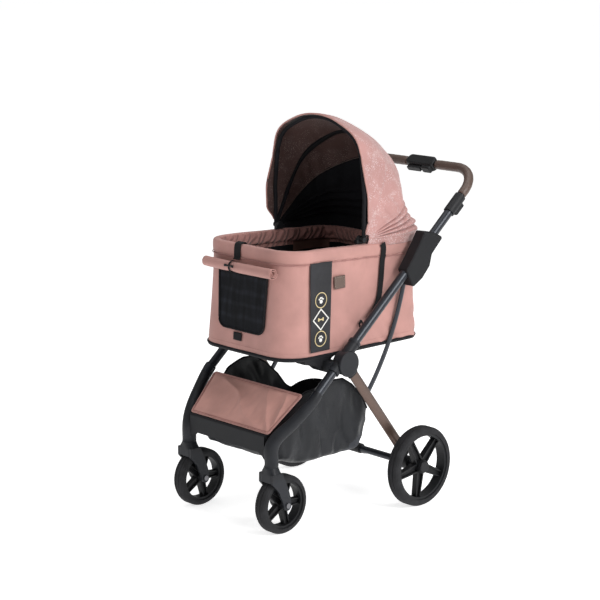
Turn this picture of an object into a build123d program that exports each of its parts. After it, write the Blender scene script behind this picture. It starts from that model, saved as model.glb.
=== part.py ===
from build123d import *
import math
import os

os.makedirs("parts", exist_ok=True)

# ---------------------------------------------------------------- driving dimensions (mm)
# +Z is up, the front of the stroller faces -Y, and X = 0 is the plane of symmetry.
# "left" is the pusher's left, which is +X.

ORIGIN_Y = 111.63                    # middle of the overall length, where the stored origin lies

# side beam: front tube, hinge bracket and push tube lie on one straight line
BEAM_X = 240.0
BEAM_ANGLE = 40.7
BEAM_Y, BEAM_Z = -53.7, 501.9        # point of the beam axis nearest the rear leg pivot
TUBE_R = 14.0
TUBE_BORE_R = 11.5
TUBE_GAP = 18.0                      # each tube stops this far short of the pivot pin
PIVOT_DROP = 14.0                    # rear leg pivot sits this far behind the beam axis
BRACKET_LOW, BRACKET_HIGH = -50.0, 72.0
FRONT_TUBE_END = -132.0
PUSH_TUBE_END = 655.0
COLLAR_START, COLLAR_END = 600.0, 668.0
COLLAR_R = 18.0

# handlebar
HANDLE_TOP = 780.0
HANDLE_BEND_R = 90.0
HANDLE_LEG_R = 11.4
HANDLE_BORE_R = 9.6
HANDLE_LEG_START = 470.0
GRIP_R = 15.0
GRIP_START = 672.0

# wheels
REAR_WHEEL_R = 125.0
REAR_WHEEL_X = 282.0
REAR_WHEEL_W = 42.0
REAR_AXLE_Y, REAR_AXLE_Z = 240.0, 125.0
FRONT_WHEEL_R = 89.5
FRONT_WHEEL_X = 187.0
FRONT_WHEEL_W = 42.0
FRONT_AXLE_Y = -251.5
CASTER_Y = -290.0
SOCKET_R = 21.5
SOCKET_BOTTOM = 210.0
SPOKES = 5
REAR_SPOKE_TURN, FRONT_SPOKE_TURN = -26.0, -3.0   # where the first spoke stands, from the rear upwards

# rear leg and strut
REAR_LEG_X = 226.5
REAR_LEG_W, REAR_LEG_T = 34.0, 16.0
LEG_OFFSET = 12.0
STRUT_X = 214.0
STRUT_PIN_R = 173.0                  # strut pin's distance from the rear leg pivot
STRUT_TOP = (236.0, 706.0)

# carrier
CARRIER_FRONT, CARRIER_REAR = -240.0, 325.0
CARRIER_HALF_W = 208.0
CARRIER_TOP_HALF_W = 197.0
TRAY_BOTTOM, TRAY_TOP = 510.0, 521.0
RIM_BOTTOM, RIM_TOP = 785.0, 828.0
WALL = 8.0

# hood
HOOD_Y, HOOD_Z = 78.0, 840.0
HOOD_FRONT_ANGLE = 89.0
HOOD_MID_ANGLE = 64.0
HOOD_REAR_ANGLE = 40.0
FABRIC = 4.0
HOOP_T = 6.0
# half width, radius where the side turns, radius at the two shoulder stations, radius at the top;
# each hood section nests inside the one in front
FRONT_ARCH = (199.0, 145.0, 280.0, 342.0, 360.0)
MIDDLE_ARCH = (191.0, 120.0, 240.0, 308.0, 328.0)
REAR_ARCH = (183.0, 100.0, 222.0, 292.0, 315.0)

BEAM_COS = math.cos(math.radians(BEAM_ANGLE))
BEAM_SIN = math.sin(math.radians(BEAM_ANGLE))


# ---------------------------------------------------------------- helpers
def beam_point(along, x=BEAM_X, above=0.0):
    """Point at a distance along the beam, and above it at right angles."""
    y = BEAM_Y + along * BEAM_COS - above * BEAM_SIN
    z = BEAM_Z + along * BEAM_SIN + above * BEAM_COS
    return (x, y, z)


def rod(start, end, radius, bore=0.0):
    """Round bar or tube between two points."""
    direction = Vector(*end) - Vector(*start)
    plane = Plane(origin=start, z_dir=direction)
    shape = extrude(plane * Circle(radius), direction.length)
    if bore:
        shape -= extrude(plane * Circle(bore), direction.length)
    return shape


def x_rod(y, z, x0, x1, radius, bore=0.0):
    """Round bar or ring along X."""
    return rod((x0, y, z), (x1, y, z), radius, bore)


def side_plate(points, x0, x1):
    """Plate cut to a side outline of (y, z) points, from x0 to x1."""
    face = make_face(Polyline(*[(x0, y, z) for y, z in points], close=True))
    return extrude(face, x1 - x0, dir=(1, 0, 0))


def bar_between(start, end, width, thickness, x_mid):
    """Flat bar with round ends in a side plane, between two (y, z) points."""
    length = math.dist(start, end)
    angle = math.degrees(math.atan2(end[1] - start[1], end[0] - start[0]))
    middle = ((start[0] + end[0]) / 2, (start[1] + end[1]) / 2)
    plane = Plane(origin=(x_mid, middle[0], middle[1]), x_dir=(0, 1, 0), z_dir=(1, 0, 0))
    outline = plane * (Rot(0, 0, angle) * SlotCenterToCenter(length, width))
    return extrude(outline, thickness / 2, both=True)


def other_side(shape):
    return mirror(shape, about=Plane.YZ)


def save(name, shape):
    placed = Pos(0, -ORIGIN_Y, 0) * shape
    placed.label = name
    export_step(placed, f"parts/{name}.step")


def save_pair(name, left_shape):
    save(f"{name}_left", left_shape)
    save(f"{name}_right", other_side(left_shape))


def group(*shapes):
    return Compound(children=[part for shape in shapes for part in shape.solids()])


# ---------------------------------------------------------------- fixed points
PIVOT = beam_point(0.0, above=-PIVOT_DROP)[1:]
AXLE = (REAR_AXLE_Y, REAR_AXLE_Z)
LEG_LENGTH = math.dist(PIVOT, AXLE)
LEG_DIR = ((AXLE[0] - PIVOT[0]) / LEG_LENGTH, (AXLE[1] - PIVOT[1]) / LEG_LENGTH)


def leg_point(distance):
    """Point on the rear leg's axis, which runs just behind the line from pivot to axle."""
    y = PIVOT[0] + LEG_DIR[0] * distance - LEG_DIR[1] * LEG_OFFSET
    z = PIVOT[1] + LEG_DIR[1] * distance + LEG_DIR[0] * LEG_OFFSET
    return (y, z)


STRUT_PIN = leg_point(STRUT_PIN_R)


# ---------------------------------------------------------------- side beams
front_tube = rod(beam_point(-TUBE_GAP), beam_point(FRONT_TUBE_END - 30), TUBE_R, TUBE_BORE_R)
push_tube = rod(beam_point(TUBE_GAP), beam_point(PUSH_TUBE_END), TUBE_R, TUBE_BORE_R)

# moulded front leg: grows from the tube and bends inwards down to the caster socket
LEG_SECTIONS = [
    (beam_point(FRONT_TUBE_END), 17.0),
    ((232.0, -203.0, 367.0), 17.3),
    ((220.0, -234.0, 337.0), 18.0),
    ((204.0, -264.0, 309.0), 19.2),
    ((190.5, -285.0, 279.0), 20.6),
    ((FRONT_WHEEL_X, CASTER_Y, 245.0), SOCKET_R),
    ((FRONT_WHEEL_X, CASTER_Y, SOCKET_BOTTOM), SOCKET_R),
]
leg_path = Spline(
    *[point for point, _ in LEG_SECTIONS],
    tangents=[(0, -BEAM_COS, -BEAM_SIN), (0, 0, -1)],
)
leg_faces = []
for point, radius in LEG_SECTIONS:
    at = leg_path.param_at_point(point)
    leg_faces.append(Plane(origin=point, z_dir=leg_path % at) * Circle(radius))
front_leg = loft(leg_faces)
front_leg -= rod(beam_point(-60), beam_point(FRONT_TUBE_END - 30), TUBE_R)
CASTER_PIN_R = 6.0
CASTER_PIN_TOP = 262.0
front_leg -= rod(
    (FRONT_WHEEL_X, CASTER_Y, SOCKET_BOTTOM - 5), (FRONT_WHEEL_X, CASTER_Y, CASTER_PIN_TOP), CASTER_PIN_R
)

# bracket: sleeve over the beam, boss for the rear leg pivot and a pad for the saddle
BOSS_IN, BOSS_OUT = 227.0, 258.0
BOSS_R = 36.0
PIN_R = 6.0
bracket = rod(beam_point(BRACKET_LOW), beam_point(BRACKET_HIGH), TUBE_R + 3.5)
bracket += x_rod(PIVOT[0], PIVOT[1], BOSS_IN, BOSS_OUT, BOSS_R)
for end in (BRACKET_LOW, BRACKET_HIGH - 9):
    bracket += rod(beam_point(end), beam_point(end + 9), TUBE_R + 5.0)
SADDLE_PAD = [(-104.0, 470.0), (-72.0, 470.0), (-66.0, 500.0), (-98.0, 500.0)]
SADDLE_OUT = 221.0
bracket += side_plate(SADDLE_PAD, SADDLE_OUT, BEAM_X - 4)
bracket -= rod(beam_point(BRACKET_LOW - 60), beam_point(-TUBE_GAP), TUBE_R)
bracket -= rod(beam_point(TUBE_GAP), beam_point(BRACKET_HIGH + 60), TUBE_R)
bracket -= x_rod(PIVOT[0], PIVOT[1], BOSS_IN - 5, BOSS_OUT + 5, PIN_R)

cover_blank = x_rod(PIVOT[0], PIVOT[1], BOSS_OUT, BOSS_OUT + 6.0, 39.0)
cover = fillet(cover_blank.edges().filter_by(GeomType.CIRCLE).sort_by(Axis.X)[-1], 3.0)

pin = x_rod(PIVOT[0], PIVOT[1], 210.0, BOSS_OUT, PIN_R) + x_rod(PIVOT[0], PIVOT[1], 207.0, 210.8, 10.0)

# saddle: wedge arm from the bracket to the underside of the carrier
SADDLE_SIDE = [(-170.0, 509.7), (-50.0, 509.7), (-62.0, 504.0), (-66.0, 500.0), (-72.0, 470.0),
               (-104.0, 470.0), (-130.0, 490.0), (-172.0, 499.0)]
saddle = side_plate(SADDLE_SIDE, 168.0, 205.0)
saddle += side_plate(SADDLE_PAD, 205.0, SADDLE_OUT)

# collar at the top of the push tube, with a window for the height button
collar = rod(beam_point(COLLAR_START), beam_point(COLLAR_END), COLLAR_R)
BUTTON_AT = 634.0
button_plane = Plane(
    origin=beam_point(BUTTON_AT), x_dir=(0, BEAM_COS, BEAM_SIN), z_dir=(0, BEAM_SIN, -BEAM_COS)
)
pod = extrude((button_plane.offset(10)) * RectangleRounded(44, 24, 6), 15)
collar += pod
collar -= rod(beam_point(COLLAR_START - 5), beam_point(PUSH_TUBE_END), TUBE_R)
collar -= rod(beam_point(PUSH_TUBE_END - 1), beam_point(COLLAR_END + 5), TUBE_BORE_R)
collar -= extrude(button_plane.offset(16) * RectangleRounded(24.4, 14.4, 4.2), 20)
height_button = extrude(button_plane.offset(19) * RectangleRounded(24, 14, 4), 10)

# ---------------------------------------------------------------- front crossbar
CROSSBAR_T = 22.0
crossbar_face = make_face(
    Polyline(
        (-172, CASTER_Y, 303), (172, CASTER_Y, 303), (172, CASTER_Y, 226), (158, CASTER_Y, 240),
        (140, CASTER_Y, 248), (-140, CASTER_Y, 248), (-158, CASTER_Y, 240), (-172, CASTER_Y, 226), close=True
    )
)
crossbar = extrude(crossbar_face, CROSSBAR_T / 2, both=True, dir=(0, 1, 0))
crossbar = fillet(crossbar.edges().filter_by(Axis.X).group_by(Axis.Z)[-1], 6)
for side_leg in (front_leg, other_side(front_leg)):
    crossbar -= side_leg
crossbar -= rod((FRONT_WHEEL_X, CASTER_Y, 200), (FRONT_WHEEL_X, CASTER_Y, 300), SOCKET_R)
crossbar -= rod((-FRONT_WHEEL_X, CASTER_Y, 200), (-FRONT_WHEEL_X, CASTER_Y, 300), SOCKET_R)
crossbar = max(crossbar.solids(), key=lambda solid: solid.volume)

# ---------------------------------------------------------------- basket
BASKET_SIDE = [(-262.0, 222.0), (-190.0, 190.0), (-110.0, 174.0), (60.0, 172.0), (104.0, 190.0),
               (121.0, 290.0), (114.0, 372.0), (-28.0, 438.0), (-150.0, 412.0), (-262.0, 312.0)]


def basket_block(grow, bottom_half, top_half, top_extra=0.0):
    """Bag outline grown inwards, with sides that lean out towards the top."""
    outline = Plane.YZ * make_face(Polyline(*BASKET_SIDE, close=True))
    if grow:
        outline = offset(outline, amount=-grow)
    block = extrude(outline, 230, both=True)
    taper = [(-bottom_half, 165), (bottom_half, 165), (top_half, 415), (-top_half, 415)]
    front = make_face(Polyline(*[(x, -300, z) for x, z in taper], close=True))
    return block & extrude(front, 500, dir=(0, 1, 0))


basket = basket_block(0, 158, 202)
hollow = basket_block(5, 153, 197)
mouth_side = [(-148.0, 370.0), (108.0, 360.0), (108.0, 460.0), (-148.0, 460.0)]
mouth = side_plate(mouth_side, -194, 194)
basket = basket - hollow - mouth

PANEL_DIR = (math.cos(math.radians(41)), math.sin(math.radians(41)))
panel_plane = Plane(origin=(0, -231.0, 353.0), x_dir=(1, 0, 0), z_dir=(0, -PANEL_DIR[1], PANEL_DIR[0]))
panel = extrude(
    panel_plane * make_face(Polyline((-172, -76), (172, -76), (190, 78), (-190, 78), close=True)), 8
)
panel = fillet(panel.edges().filter_by(lambda e: abs(e.length - 8) < 0.1), 14)

# ---------------------------------------------------------------- rear legs
def leg_oval(distance, width, thickness, x_mid=REAR_LEG_X):
    """Oval across the rear leg at a distance from the pivot."""
    y, z = leg_point(distance)
    plane = Plane(origin=(x_mid, y, z), x_dir=(1, 0, 0), z_dir=(0, LEG_DIR[0], LEG_DIR[1]))
    return plane * Ellipse(thickness / 2, width / 2)


YOKE_END = 66.0
FOOT_START = 404.0
rear_leg = extrude(leg_oval(YOKE_END - 20, REAR_LEG_W, REAR_LEG_T), FOOT_START + 20 - (YOKE_END - 20))

yoke = bar_between(PIVOT, leg_point(52), 33.0, 10.0, 216.3)
yoke += extrude(leg_oval(42, REAR_LEG_W + 5, REAR_LEG_T + 5), YOKE_END - 42)
yoke -= extrude(leg_oval(YOKE_END - 20, REAR_LEG_W, REAR_LEG_T), 60)
yoke -= x_rod(PIVOT[0], PIVOT[1], 200, 240, PIN_R + 0.05)

AXLE_TUBE_R = 11.0
foot = extrude(leg_oval(FOOT_START, REAR_LEG_W + 5, REAR_LEG_T + 5), 36)
foot += x_rod(AXLE[0], AXLE[1], 212, 244, 21.0)
foot -= extrude(leg_oval(FOOT_START - 20, REAR_LEG_W, REAR_LEG_T), 40)
foot -= x_rod(AXLE[0], AXLE[1], 205, 250, AXLE_TUBE_R)
rear_axle = x_rod(AXLE[0], AXLE[1], -244, 244, AXLE_TUBE_R, 6.0)
AXLE_PIN_R = 6.0
axle_pin = x_rod(AXLE[0], AXLE[1], 190, 303, AXLE_PIN_R) + x_rod(AXLE[0], AXLE[1], 300.5, 303, 9.0)

# pin that carries the strut on the inner face of the rear leg
strut_pin = x_rod(STRUT_PIN[0], STRUT_PIN[1], 209.2, 219.6, 4.0)
strut_pin += x_rod(STRUT_PIN[0], STRUT_PIN[1], 208.4, 209.9, 7.0)
rear_leg -= x_rod(STRUT_PIN[0], STRUT_PIN[1], 209.2, 219.6, 4.0)

# brake pedal on the middle of the axle
PEDAL_HALF = 29.0
pedal = x_rod(AXLE[0], AXLE[1], -PEDAL_HALF, PEDAL_HALF, 16.0)
pedal_outline = [(236, 116), (250, 106), (288, 96), (292, 100), (290, 106), (262, 120), (252, 134)]
pedal += side_plate(pedal_outline, -PEDAL_HALF, PEDAL_HALF)
pedal = fillet(pedal.edges().filter_by(Axis.X).sort_by(Axis.Y)[-1], 2.5)
pedal -= x_rod(AXLE[0], AXLE[1], -40, 40, AXLE_TUBE_R + 0.05)

# ---------------------------------------------------------------- strut and slider housing
strut_line = ThreePointArc(
    (STRUT_X, *STRUT_PIN), (STRUT_X, 172.0, 521.0), (STRUT_X, *STRUT_TOP)
)
start_plane = Plane(origin=strut_line @ 0, x_dir=(1, 0, 0), z_dir=strut_line % 0)
strut = sweep(start_plane * Ellipse(3.5, 9.0), path=strut_line)
for end in (STRUT_PIN, STRUT_TOP):
    strut += x_rod(end[0], end[1], STRUT_X - 3.5, STRUT_X + 3.5, 11.0)
strut -= x_rod(STRUT_PIN[0], STRUT_PIN[1], 200, 230, 4.05)
strut += x_rod(STRUT_TOP[0], STRUT_TOP[1], STRUT_X + 3.5, STRUT_X + 6.5, 7.0)

SLIDER_OUTLINE = [(346, 16), (333, -46), (379, -55), (424, -50), (455, -29), (522, -25), (504, 16),
                  (478, 48), (430, 34), (380, 22)]


def beam_outline(points):
    return [beam_point(along, above=above)[1:] for along, above in points]


slider = side_plate(beam_outline(SLIDER_OUTLINE), 222.0, 260.0)
slider = fillet(slider.edges().filter_by(Axis.X), 7.0)
slider = chamfer(slider.faces().sort_by(Axis.X)[-1].edges(), 3.0)
slider -= rod(beam_point(300), beam_point(560), TUBE_R + 0.15)

# ---------------------------------------------------------------- handlebar
beam_plane = Plane(
    origin=(0, BEAM_Y, BEAM_Z), x_dir=(1, 0, 0), z_dir=(0, -BEAM_SIN, BEAM_COS)
)


def bow(start):
    """U-shaped centre line in the plane of the beams, from one leg to the other."""
    corner = HANDLE_TOP - HANDLE_BEND_R
    inner = BEAM_X - HANDLE_BEND_R
    wire = Wire(
        [
            Line((BEAM_X, start), (BEAM_X, corner)),
            RadiusArc((BEAM_X, corner), (inner, HANDLE_TOP), -HANDLE_BEND_R),
            Line((inner, HANDLE_TOP), (-inner, HANDLE_TOP)),
            RadiusArc((-inner, HANDLE_TOP), (-BEAM_X, corner), -HANDLE_BEND_R),
            Line((-BEAM_X, corner), (-BEAM_X, start)),
        ]
    )
    return beam_plane * wire


def sweep_bow(start, radius):
    path = bow(start)
    section = Plane(origin=path @ 0, z_dir=path % 0) * Circle(radius)
    return sweep(section, path=path)


handlebar = sweep_bow(HANDLE_LEG_START, HANDLE_LEG_R) - sweep_bow(HANDLE_LEG_START, HANDLE_BORE_R)
grip = sweep_bow(GRIP_START, GRIP_R)
CENTRE_HALF = 58.0
top = beam_point(HANDLE_TOP, x=0)
grip -= rod((-CENTRE_HALF, top[1], top[2]), (CENTRE_HALF, top[1], top[2]), 30.0)
grip -= sweep_bow(HANDLE_LEG_START, HANDLE_LEG_R)
grip_solids = grip.solids().sort_by(Axis.X)

centre_plane = Plane(origin=(0, top[1], top[2]), x_dir=(1, 0, 0), z_dir=(0, -BEAM_SIN, BEAM_COS))
centre = extrude(centre_plane.offset(-17.5) * RectangleRounded(2 * CENTRE_HALF, 38, 14), 35)
centre = fillet(centre.edges().filter_by(lambda e: e.length > 60), 6)
# the trigger sits in the front edge of the housing, beside a lobe, and is pulled up towards the bar
TRIGGER_X, TRIGGER_HALF, TRIGGER_T = -17.0, 28.0, 16.0
trigger_plane = Plane(
    origin=(TRIGGER_X, top[1], top[2]), x_dir=(1, 0, 0), z_dir=(0, BEAM_COS, BEAM_SIN)
)
lobe = extrude(trigger_plane.offset(-30) * Pos(51, 0) * RectangleRounded(38, 26, 7), 14)
centre += fillet(lobe.faces().sort_by(Axis.Z)[0].edges(), 4)
centre -= rod((-70, top[1], top[2]), (70, top[1], top[2]), HANDLE_LEG_R)
pocket = RectangleRounded(2 * TRIGGER_HALF + 0.5, TRIGGER_T + 0.5, 3.2)
centre -= extrude(trigger_plane.offset(-40) * pocket, 27.8)
trigger = extrude(trigger_plane.offset(-31) * RectangleRounded(2 * TRIGGER_HALF, TRIGGER_T, 3), 15.0)


# ---------------------------------------------------------------- wheels
def wheel_rim(x_mid, y, z, rim_r, rim_w, hub_r, hub_w, bore, first_turn):
    """Moulded rim: outer ring, hub and five twin-rib spokes, about an X axis."""
    plane = Plane(origin=(x_mid, y, z), x_dir=(0, 1, 0), z_dir=(1, 0, 0))
    ring_t = 8.0
    ring = extrude(plane * (Circle(rim_r) - Circle(rim_r - ring_t)), rim_w / 2, both=True)
    hub = extrude(plane * Circle(hub_r), hub_w / 2, both=True)
    rim = ring + hub
    reach = rim_r - ring_t + 2
    for index in range(SPOKES):
        turn = first_turn + 360 / SPOKES * index
        web = Polygon((0, -hub_r * 0.75), (reach, -8.5), (reach, 8.5), (0, hub_r * 0.75), align=None)
        rim += extrude(plane * (Rot(0, 0, turn) * web), 2.5, both=True)
        for side in (-1, 1):
            rib = Polygon(
                (0, side * hub_r * 0.75), (reach, side * 9.5), (reach, side * 6.0), (0, side * hub_r * 0.5),
                align=None,
            )
            rim += extrude(plane * (Rot(0, 0, turn) * rib), rim_w * 0.28, both=True)
    rim -= extrude(plane * Circle(bore), hub_w, both=True)
    return rim


def wheel_tyre(x_mid, y, z, outer_r, inner_r, width):
    """Tyre with a rounded section and two tread grooves, turned about an X axis."""
    half = width / 2
    crown = 9.0
    groove = 1.6
    edge = [(-half, inner_r), (half, inner_r), (half, outer_r - crown), (half - 3, outer_r - 3.5),
            (half - crown, outer_r)]
    tread = []
    for middle in (6.5, -6.5):
        tread += [(middle + 1.2, outer_r), (middle + 0.8, outer_r - groove),
                  (middle - 0.8, outer_r - groove), (middle - 1.2, outer_r)]
    close = [(-half + crown, outer_r), (-half + 3, outer_r - 3.5), (-half, outer_r - crown)]
    section = make_face(Polyline(*[(x, 0, r) for x, r in edge + tread + close], close=True))
    return Pos(x_mid, y, z) * Rot(20, 0, 0) * revolve(section, Axis.X)


REAR_RIM_R, FRONT_RIM_R = 105.0, 73.0
rear_rim = wheel_rim(
    REAR_WHEEL_X, *AXLE, REAR_RIM_R, 34.0, 21.0, 36.0, AXLE_PIN_R + 0.05, REAR_SPOKE_TURN
)
rear_tyre = wheel_tyre(REAR_WHEEL_X, *AXLE, REAR_WHEEL_R, REAR_RIM_R, REAR_WHEEL_W)
hub_cap = x_rod(AXLE[0], AXLE[1], 300, 307, 19.0)
hub_cap = fillet(hub_cap.edges().filter_by(GeomType.CIRCLE).sort_by(Axis.X)[-1], 4.0)
hub_cap -= x_rod(AXLE[0], AXLE[1], 299, 304, 11.0)
FRONT_AXLE_Z = FRONT_WHEEL_R
BOLT_R = 4.0
front_rim = wheel_rim(
    FRONT_WHEEL_X, FRONT_AXLE_Y, FRONT_AXLE_Z, FRONT_RIM_R, 32.0, 16.0, 42.0, BOLT_R + 0.05, FRONT_SPOKE_TURN
)
front_tyre = wheel_tyre(FRONT_WHEEL_X, FRONT_AXLE_Y, FRONT_AXLE_Z, FRONT_WHEEL_R, FRONT_RIM_R, FRONT_WHEEL_W)

# ---------------------------------------------------------------- caster forks
FORK_IN, FORK_OUT = 23.0, 31.0
CROWN_Z = 190.0
CROWN_Y, CROWN_LENGTH = -290.0, 42.0
crown_outline = RectangleRounded(2 * FORK_OUT, CROWN_LENGTH, 14)
# crown: round under the leg, widening to the arms, and cut away above the tyre
fork = loft([
    Plane(origin=(FRONT_WHEEL_X, CASTER_Y, SOCKET_BOTTOM - 0.6)) * Circle(SOCKET_R),
    Plane(origin=(FRONT_WHEEL_X, CROWN_Y, CROWN_Z)) * crown_outline,
])
fork += extrude(Plane(origin=(FRONT_WHEEL_X, CROWN_Y, 166)) * crown_outline, CROWN_Z - 166)
arm_outline = [(-310, 192), (-310, 164), (-285, 136), (-269.5, 102), (-265.5, 86), (-259, 76.5),
               (-251.5, 74), (-244, 76.5), (-238, 84), (-239.5, 110), (-247.5, 137), (-261, 168), (-271, 192)]
for side in (-1, 1):
    inner = FRONT_WHEEL_X + side * FORK_IN
    outer = FRONT_WHEEL_X + side * FORK_OUT
    arm = side_plate(arm_outline, min(inner, outer), max(inner, outer))
    fork += fillet(arm.edges().filter_by(Axis.X).sort_by(Axis.Z)[2:9], 4)
TYRE_GAP = 4.0
fork -= x_rod(
    FRONT_AXLE_Y, FRONT_AXLE_Z, FRONT_WHEEL_X - FORK_IN, FRONT_WHEEL_X + FORK_IN, FRONT_WHEEL_R + TYRE_GAP
)
fork -= x_rod(FRONT_AXLE_Y, FRONT_AXLE_Z, 120, 250, BOLT_R)
fork -= rod((FRONT_WHEEL_X, CASTER_Y, 160), (FRONT_WHEEL_X, CASTER_Y, 220), CASTER_PIN_R + 0.05)
caster_pin = rod((FRONT_WHEEL_X, CASTER_Y, 187), (FRONT_WHEEL_X, CASTER_Y, CASTER_PIN_TOP), CASTER_PIN_R)
front_bolt = x_rod(FRONT_AXLE_Y, FRONT_AXLE_Z, FRONT_WHEEL_X - 34, FRONT_WHEEL_X + 34, BOLT_R)
for side in (-1, 1):
    face = FRONT_WHEEL_X + side * FORK_OUT
    head = (min(face, face + side * 3.5), max(face, face + side * 3.5))
    front_bolt += x_rod(FRONT_AXLE_Y, FRONT_AXLE_Z, *head, 8.0)


# ---------------------------------------------------------------- carrier
def rounded_plan(half_w, front, rear, z, front_r=90.0, rear_r=60.0):
    """Plan outline with larger corners at the front."""
    outline = Polyline((-half_w, front), (half_w, front), (half_w, rear), (-half_w, rear), close=True)
    face = make_face(outline)
    front_corners = face.vertices().group_by(Axis.Y)[0]
    rear_corners = face.vertices().group_by(Axis.Y)[-1]
    face = fillet(front_corners, front_r)
    rear_corners = face.vertices().sort_by(Axis.Y)[-2:]
    face = fillet(rear_corners, rear_r)
    return Plane.XY.offset(z) * face


def plan_block(inset, z0, z1, half0, half1, front1=CARRIER_FRONT + 16, rear1=CARRIER_REAR - 3):
    """Tapered block between two rounded plans."""
    low = rounded_plan(half0 - inset, CARRIER_FRONT + inset, CARRIER_REAR - inset, z0, 90 - inset, 60 - inset)
    high = rounded_plan(half1 - inset, front1 + inset, rear1 - inset, z1, 90 - inset, 60 - inset)
    return loft([low, high])


tray = extrude(
    rounded_plan(CARRIER_HALF_W + 1.0, CARRIER_FRONT - 1.0, CARRIER_REAR + 1.0, TRAY_BOTTOM, 91, 61),
    TRAY_TOP - TRAY_BOTTOM,
)
body = plan_block(0, TRAY_TOP, RIM_BOTTOM, CARRIER_HALF_W, CARRIER_TOP_HALF_W)
body -= plan_block(WALL, TRAY_TOP + 5, RIM_BOTTOM + 0.01, CARRIER_HALF_W, CARRIER_TOP_HALF_W)

rim_out = rounded_plan(CARRIER_TOP_HALF_W + 4, CARRIER_FRONT + 12, CARRIER_REAR - 1, RIM_BOTTOM, 90, 60)
rim_in = rounded_plan(CARRIER_TOP_HALF_W - 22, CARRIER_FRONT + 38, CARRIER_REAR - 27, RIM_BOTTOM, 64, 34)
rim = extrude(rim_out, RIM_TOP - RIM_BOTTOM) - extrude(rim_in, RIM_TOP - RIM_BOTTOM)
rim = fillet(rim.edges().group_by(Axis.Z)[-1], 9.0)

cushion = plan_block(WALL + 3, TRAY_TOP + 5, TRAY_TOP + 30, CARRIER_HALF_W, CARRIER_HALF_W - 0.7)

# window with its rolled-up cover across the front wall
window_outline = [(-108, 752), (108, 752), (96, 590), (80, 574), (-80, 574), (-96, 590)]
window = make_face(Polyline(*[(x, -260, z) for x, z in window_outline], close=True))
window = extrude(window, 60, dir=(0, 1, 0))
window &= plan_block(-1.8, TRAY_TOP, RIM_BOTTOM, CARRIER_HALF_W, CARRIER_TOP_HALF_W)
window -= plan_block(-0.2, TRAY_TOP, RIM_BOTTOM, CARRIER_HALF_W, CARRIER_TOP_HALF_W)
roll = rod((-165, -246, 769), (165, -246, 769), 14.0)

# rim buckle that closes the front bar over the roll, a little to the right of the middle
BUCKLE_X = -27.0
buckle = Pos(BUCKLE_X, -232.5, 806) * Box(30, 8, 40)
buckle = fillet(buckle.edges().filter_by(Axis.Y), 4)

# hood hinge blocks on the rim, each with a pin that carries both hoops
HINGE_PIN_IN, HINGE_PIN_OUT = 172.0, 199.0
hinge_block = Pos(HINGE_PIN_IN + 6, HOOD_Y, RIM_TOP + 6) * Box(11, 34, 12)
hinge_block += x_rod(HOOD_Y, HOOD_Z, HINGE_PIN_IN + 0.5, HINGE_PIN_IN + 11.5, 11.0)
hinge_block += x_rod(HOOD_Y, HOOD_Z, HINGE_PIN_IN + 5, HINGE_PIN_OUT, 4.0)
hood_hinge = group(hinge_block, other_side(hinge_block))


# ---------------------------------------------------------------- hood
HOOD_AXIS = Axis((0, HOOD_Y, HOOD_Z), (1, 0, 0))
HINGE_CLEAR = 13.0


def arch_face(arch, shrink):
    """Half of the hood's front view, from the hinge line up to the arch."""
    half_w, turn_r, low_r, high_r, top_r = [value - shrink for value in arch]
    side = Line((half_w, 0), (half_w, turn_r))
    curve = Spline(
        (half_w, turn_r), (half_w * 0.875, low_r), (half_w * 0.46, high_r), (0, top_r),
        tangents=[(0, 1), (-1, 0)],
    )
    return make_face([side, curve, Line((0, top_r), (0, 0)), Line((0, 0), (half_w, 0))])


def swing(face, angle_from, angle_to):
    """Solid swept by a half arch about the hinge line; angles go up from the rear."""
    upright = Plane(origin=(0, HOOD_Y, HOOD_Z), x_dir=(1, 0, 0), z_dir=(0, 0, 1)) * face
    start = upright.rotate(HOOD_AXIS, angle_to)
    half = revolve(start, HOOD_AXIS, angle_from - angle_to)
    return half + other_side(half)


def hood_section(arch, thickness, angle_from, angle_to, clear=HINGE_CLEAR):
    """Shell of the hood between two angles."""
    band = arch_face(arch, 0) - arch_face(arch, thickness) - Rectangle(500, 2 * clear)
    return swing(band, angle_from, angle_to)


def hoop(arch, angle):
    """Flat arch rib with an eye at each hinge."""
    rib = hood_section(arch, HOOP_T, angle + 1.7, angle + 0.05, 6.0)
    eye = x_rod(HOOD_Y, HOOD_Z, arch[0] - HOOP_T, arch[0], 8.0)
    rib = rib + eye + other_side(eye)
    return rib - x_rod(HOOD_Y, HOOD_Z, -300, 300, 4.05)


hood_front = hood_section(FRONT_ARCH, FABRIC, HOOD_FRONT_ANGLE, HOOD_MID_ANGLE - 4)
hood_middle = hood_section(MIDDLE_ARCH, FABRIC, HOOD_MID_ANGLE, HOOD_REAR_ANGLE - 4)
front_hoop = hoop(FRONT_ARCH, HOOD_FRONT_ANGLE)
middle_hoop = hoop(MIDDLE_ARCH, HOOD_MID_ANGLE)

# rear of the hood: follows the arch, then drops steeply to the carrier's rear rim
REAR_SIDE = [(HOOD_Y, HOOD_Z + 0.5), (338.0, 1058.0), (346.0, 985.0), (342.0, 900.0), (329.0, RIM_TOP + 1),
             (HOOD_Y + 30, RIM_TOP + 1)]
rear_solid = swing(arch_face(REAR_ARCH, 0), HOOD_REAR_ANGLE, -2.2)
rear_hollow = swing(arch_face(REAR_ARCH, FABRIC), HOOD_REAR_ANGLE + 1, -3)
outline = Plane.YZ * make_face(Polyline(*REAR_SIDE, close=True))
rear_solid &= extrude(outline, 300, both=True)
hollow_side = [(HOOD_Y, HOOD_Z - 30), (HOOD_Y, HOOD_Z + 40), (300, 1100), (333.0, 1058.0), (341.0, 985.0),
               (337.5, 900.0), (324.5, RIM_TOP - 2)]
rear_hollow &= extrude(Plane.YZ * make_face(Polyline(*hollow_side, close=True)), 300, both=True)
hood_rear = rear_solid - rear_hollow
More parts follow.
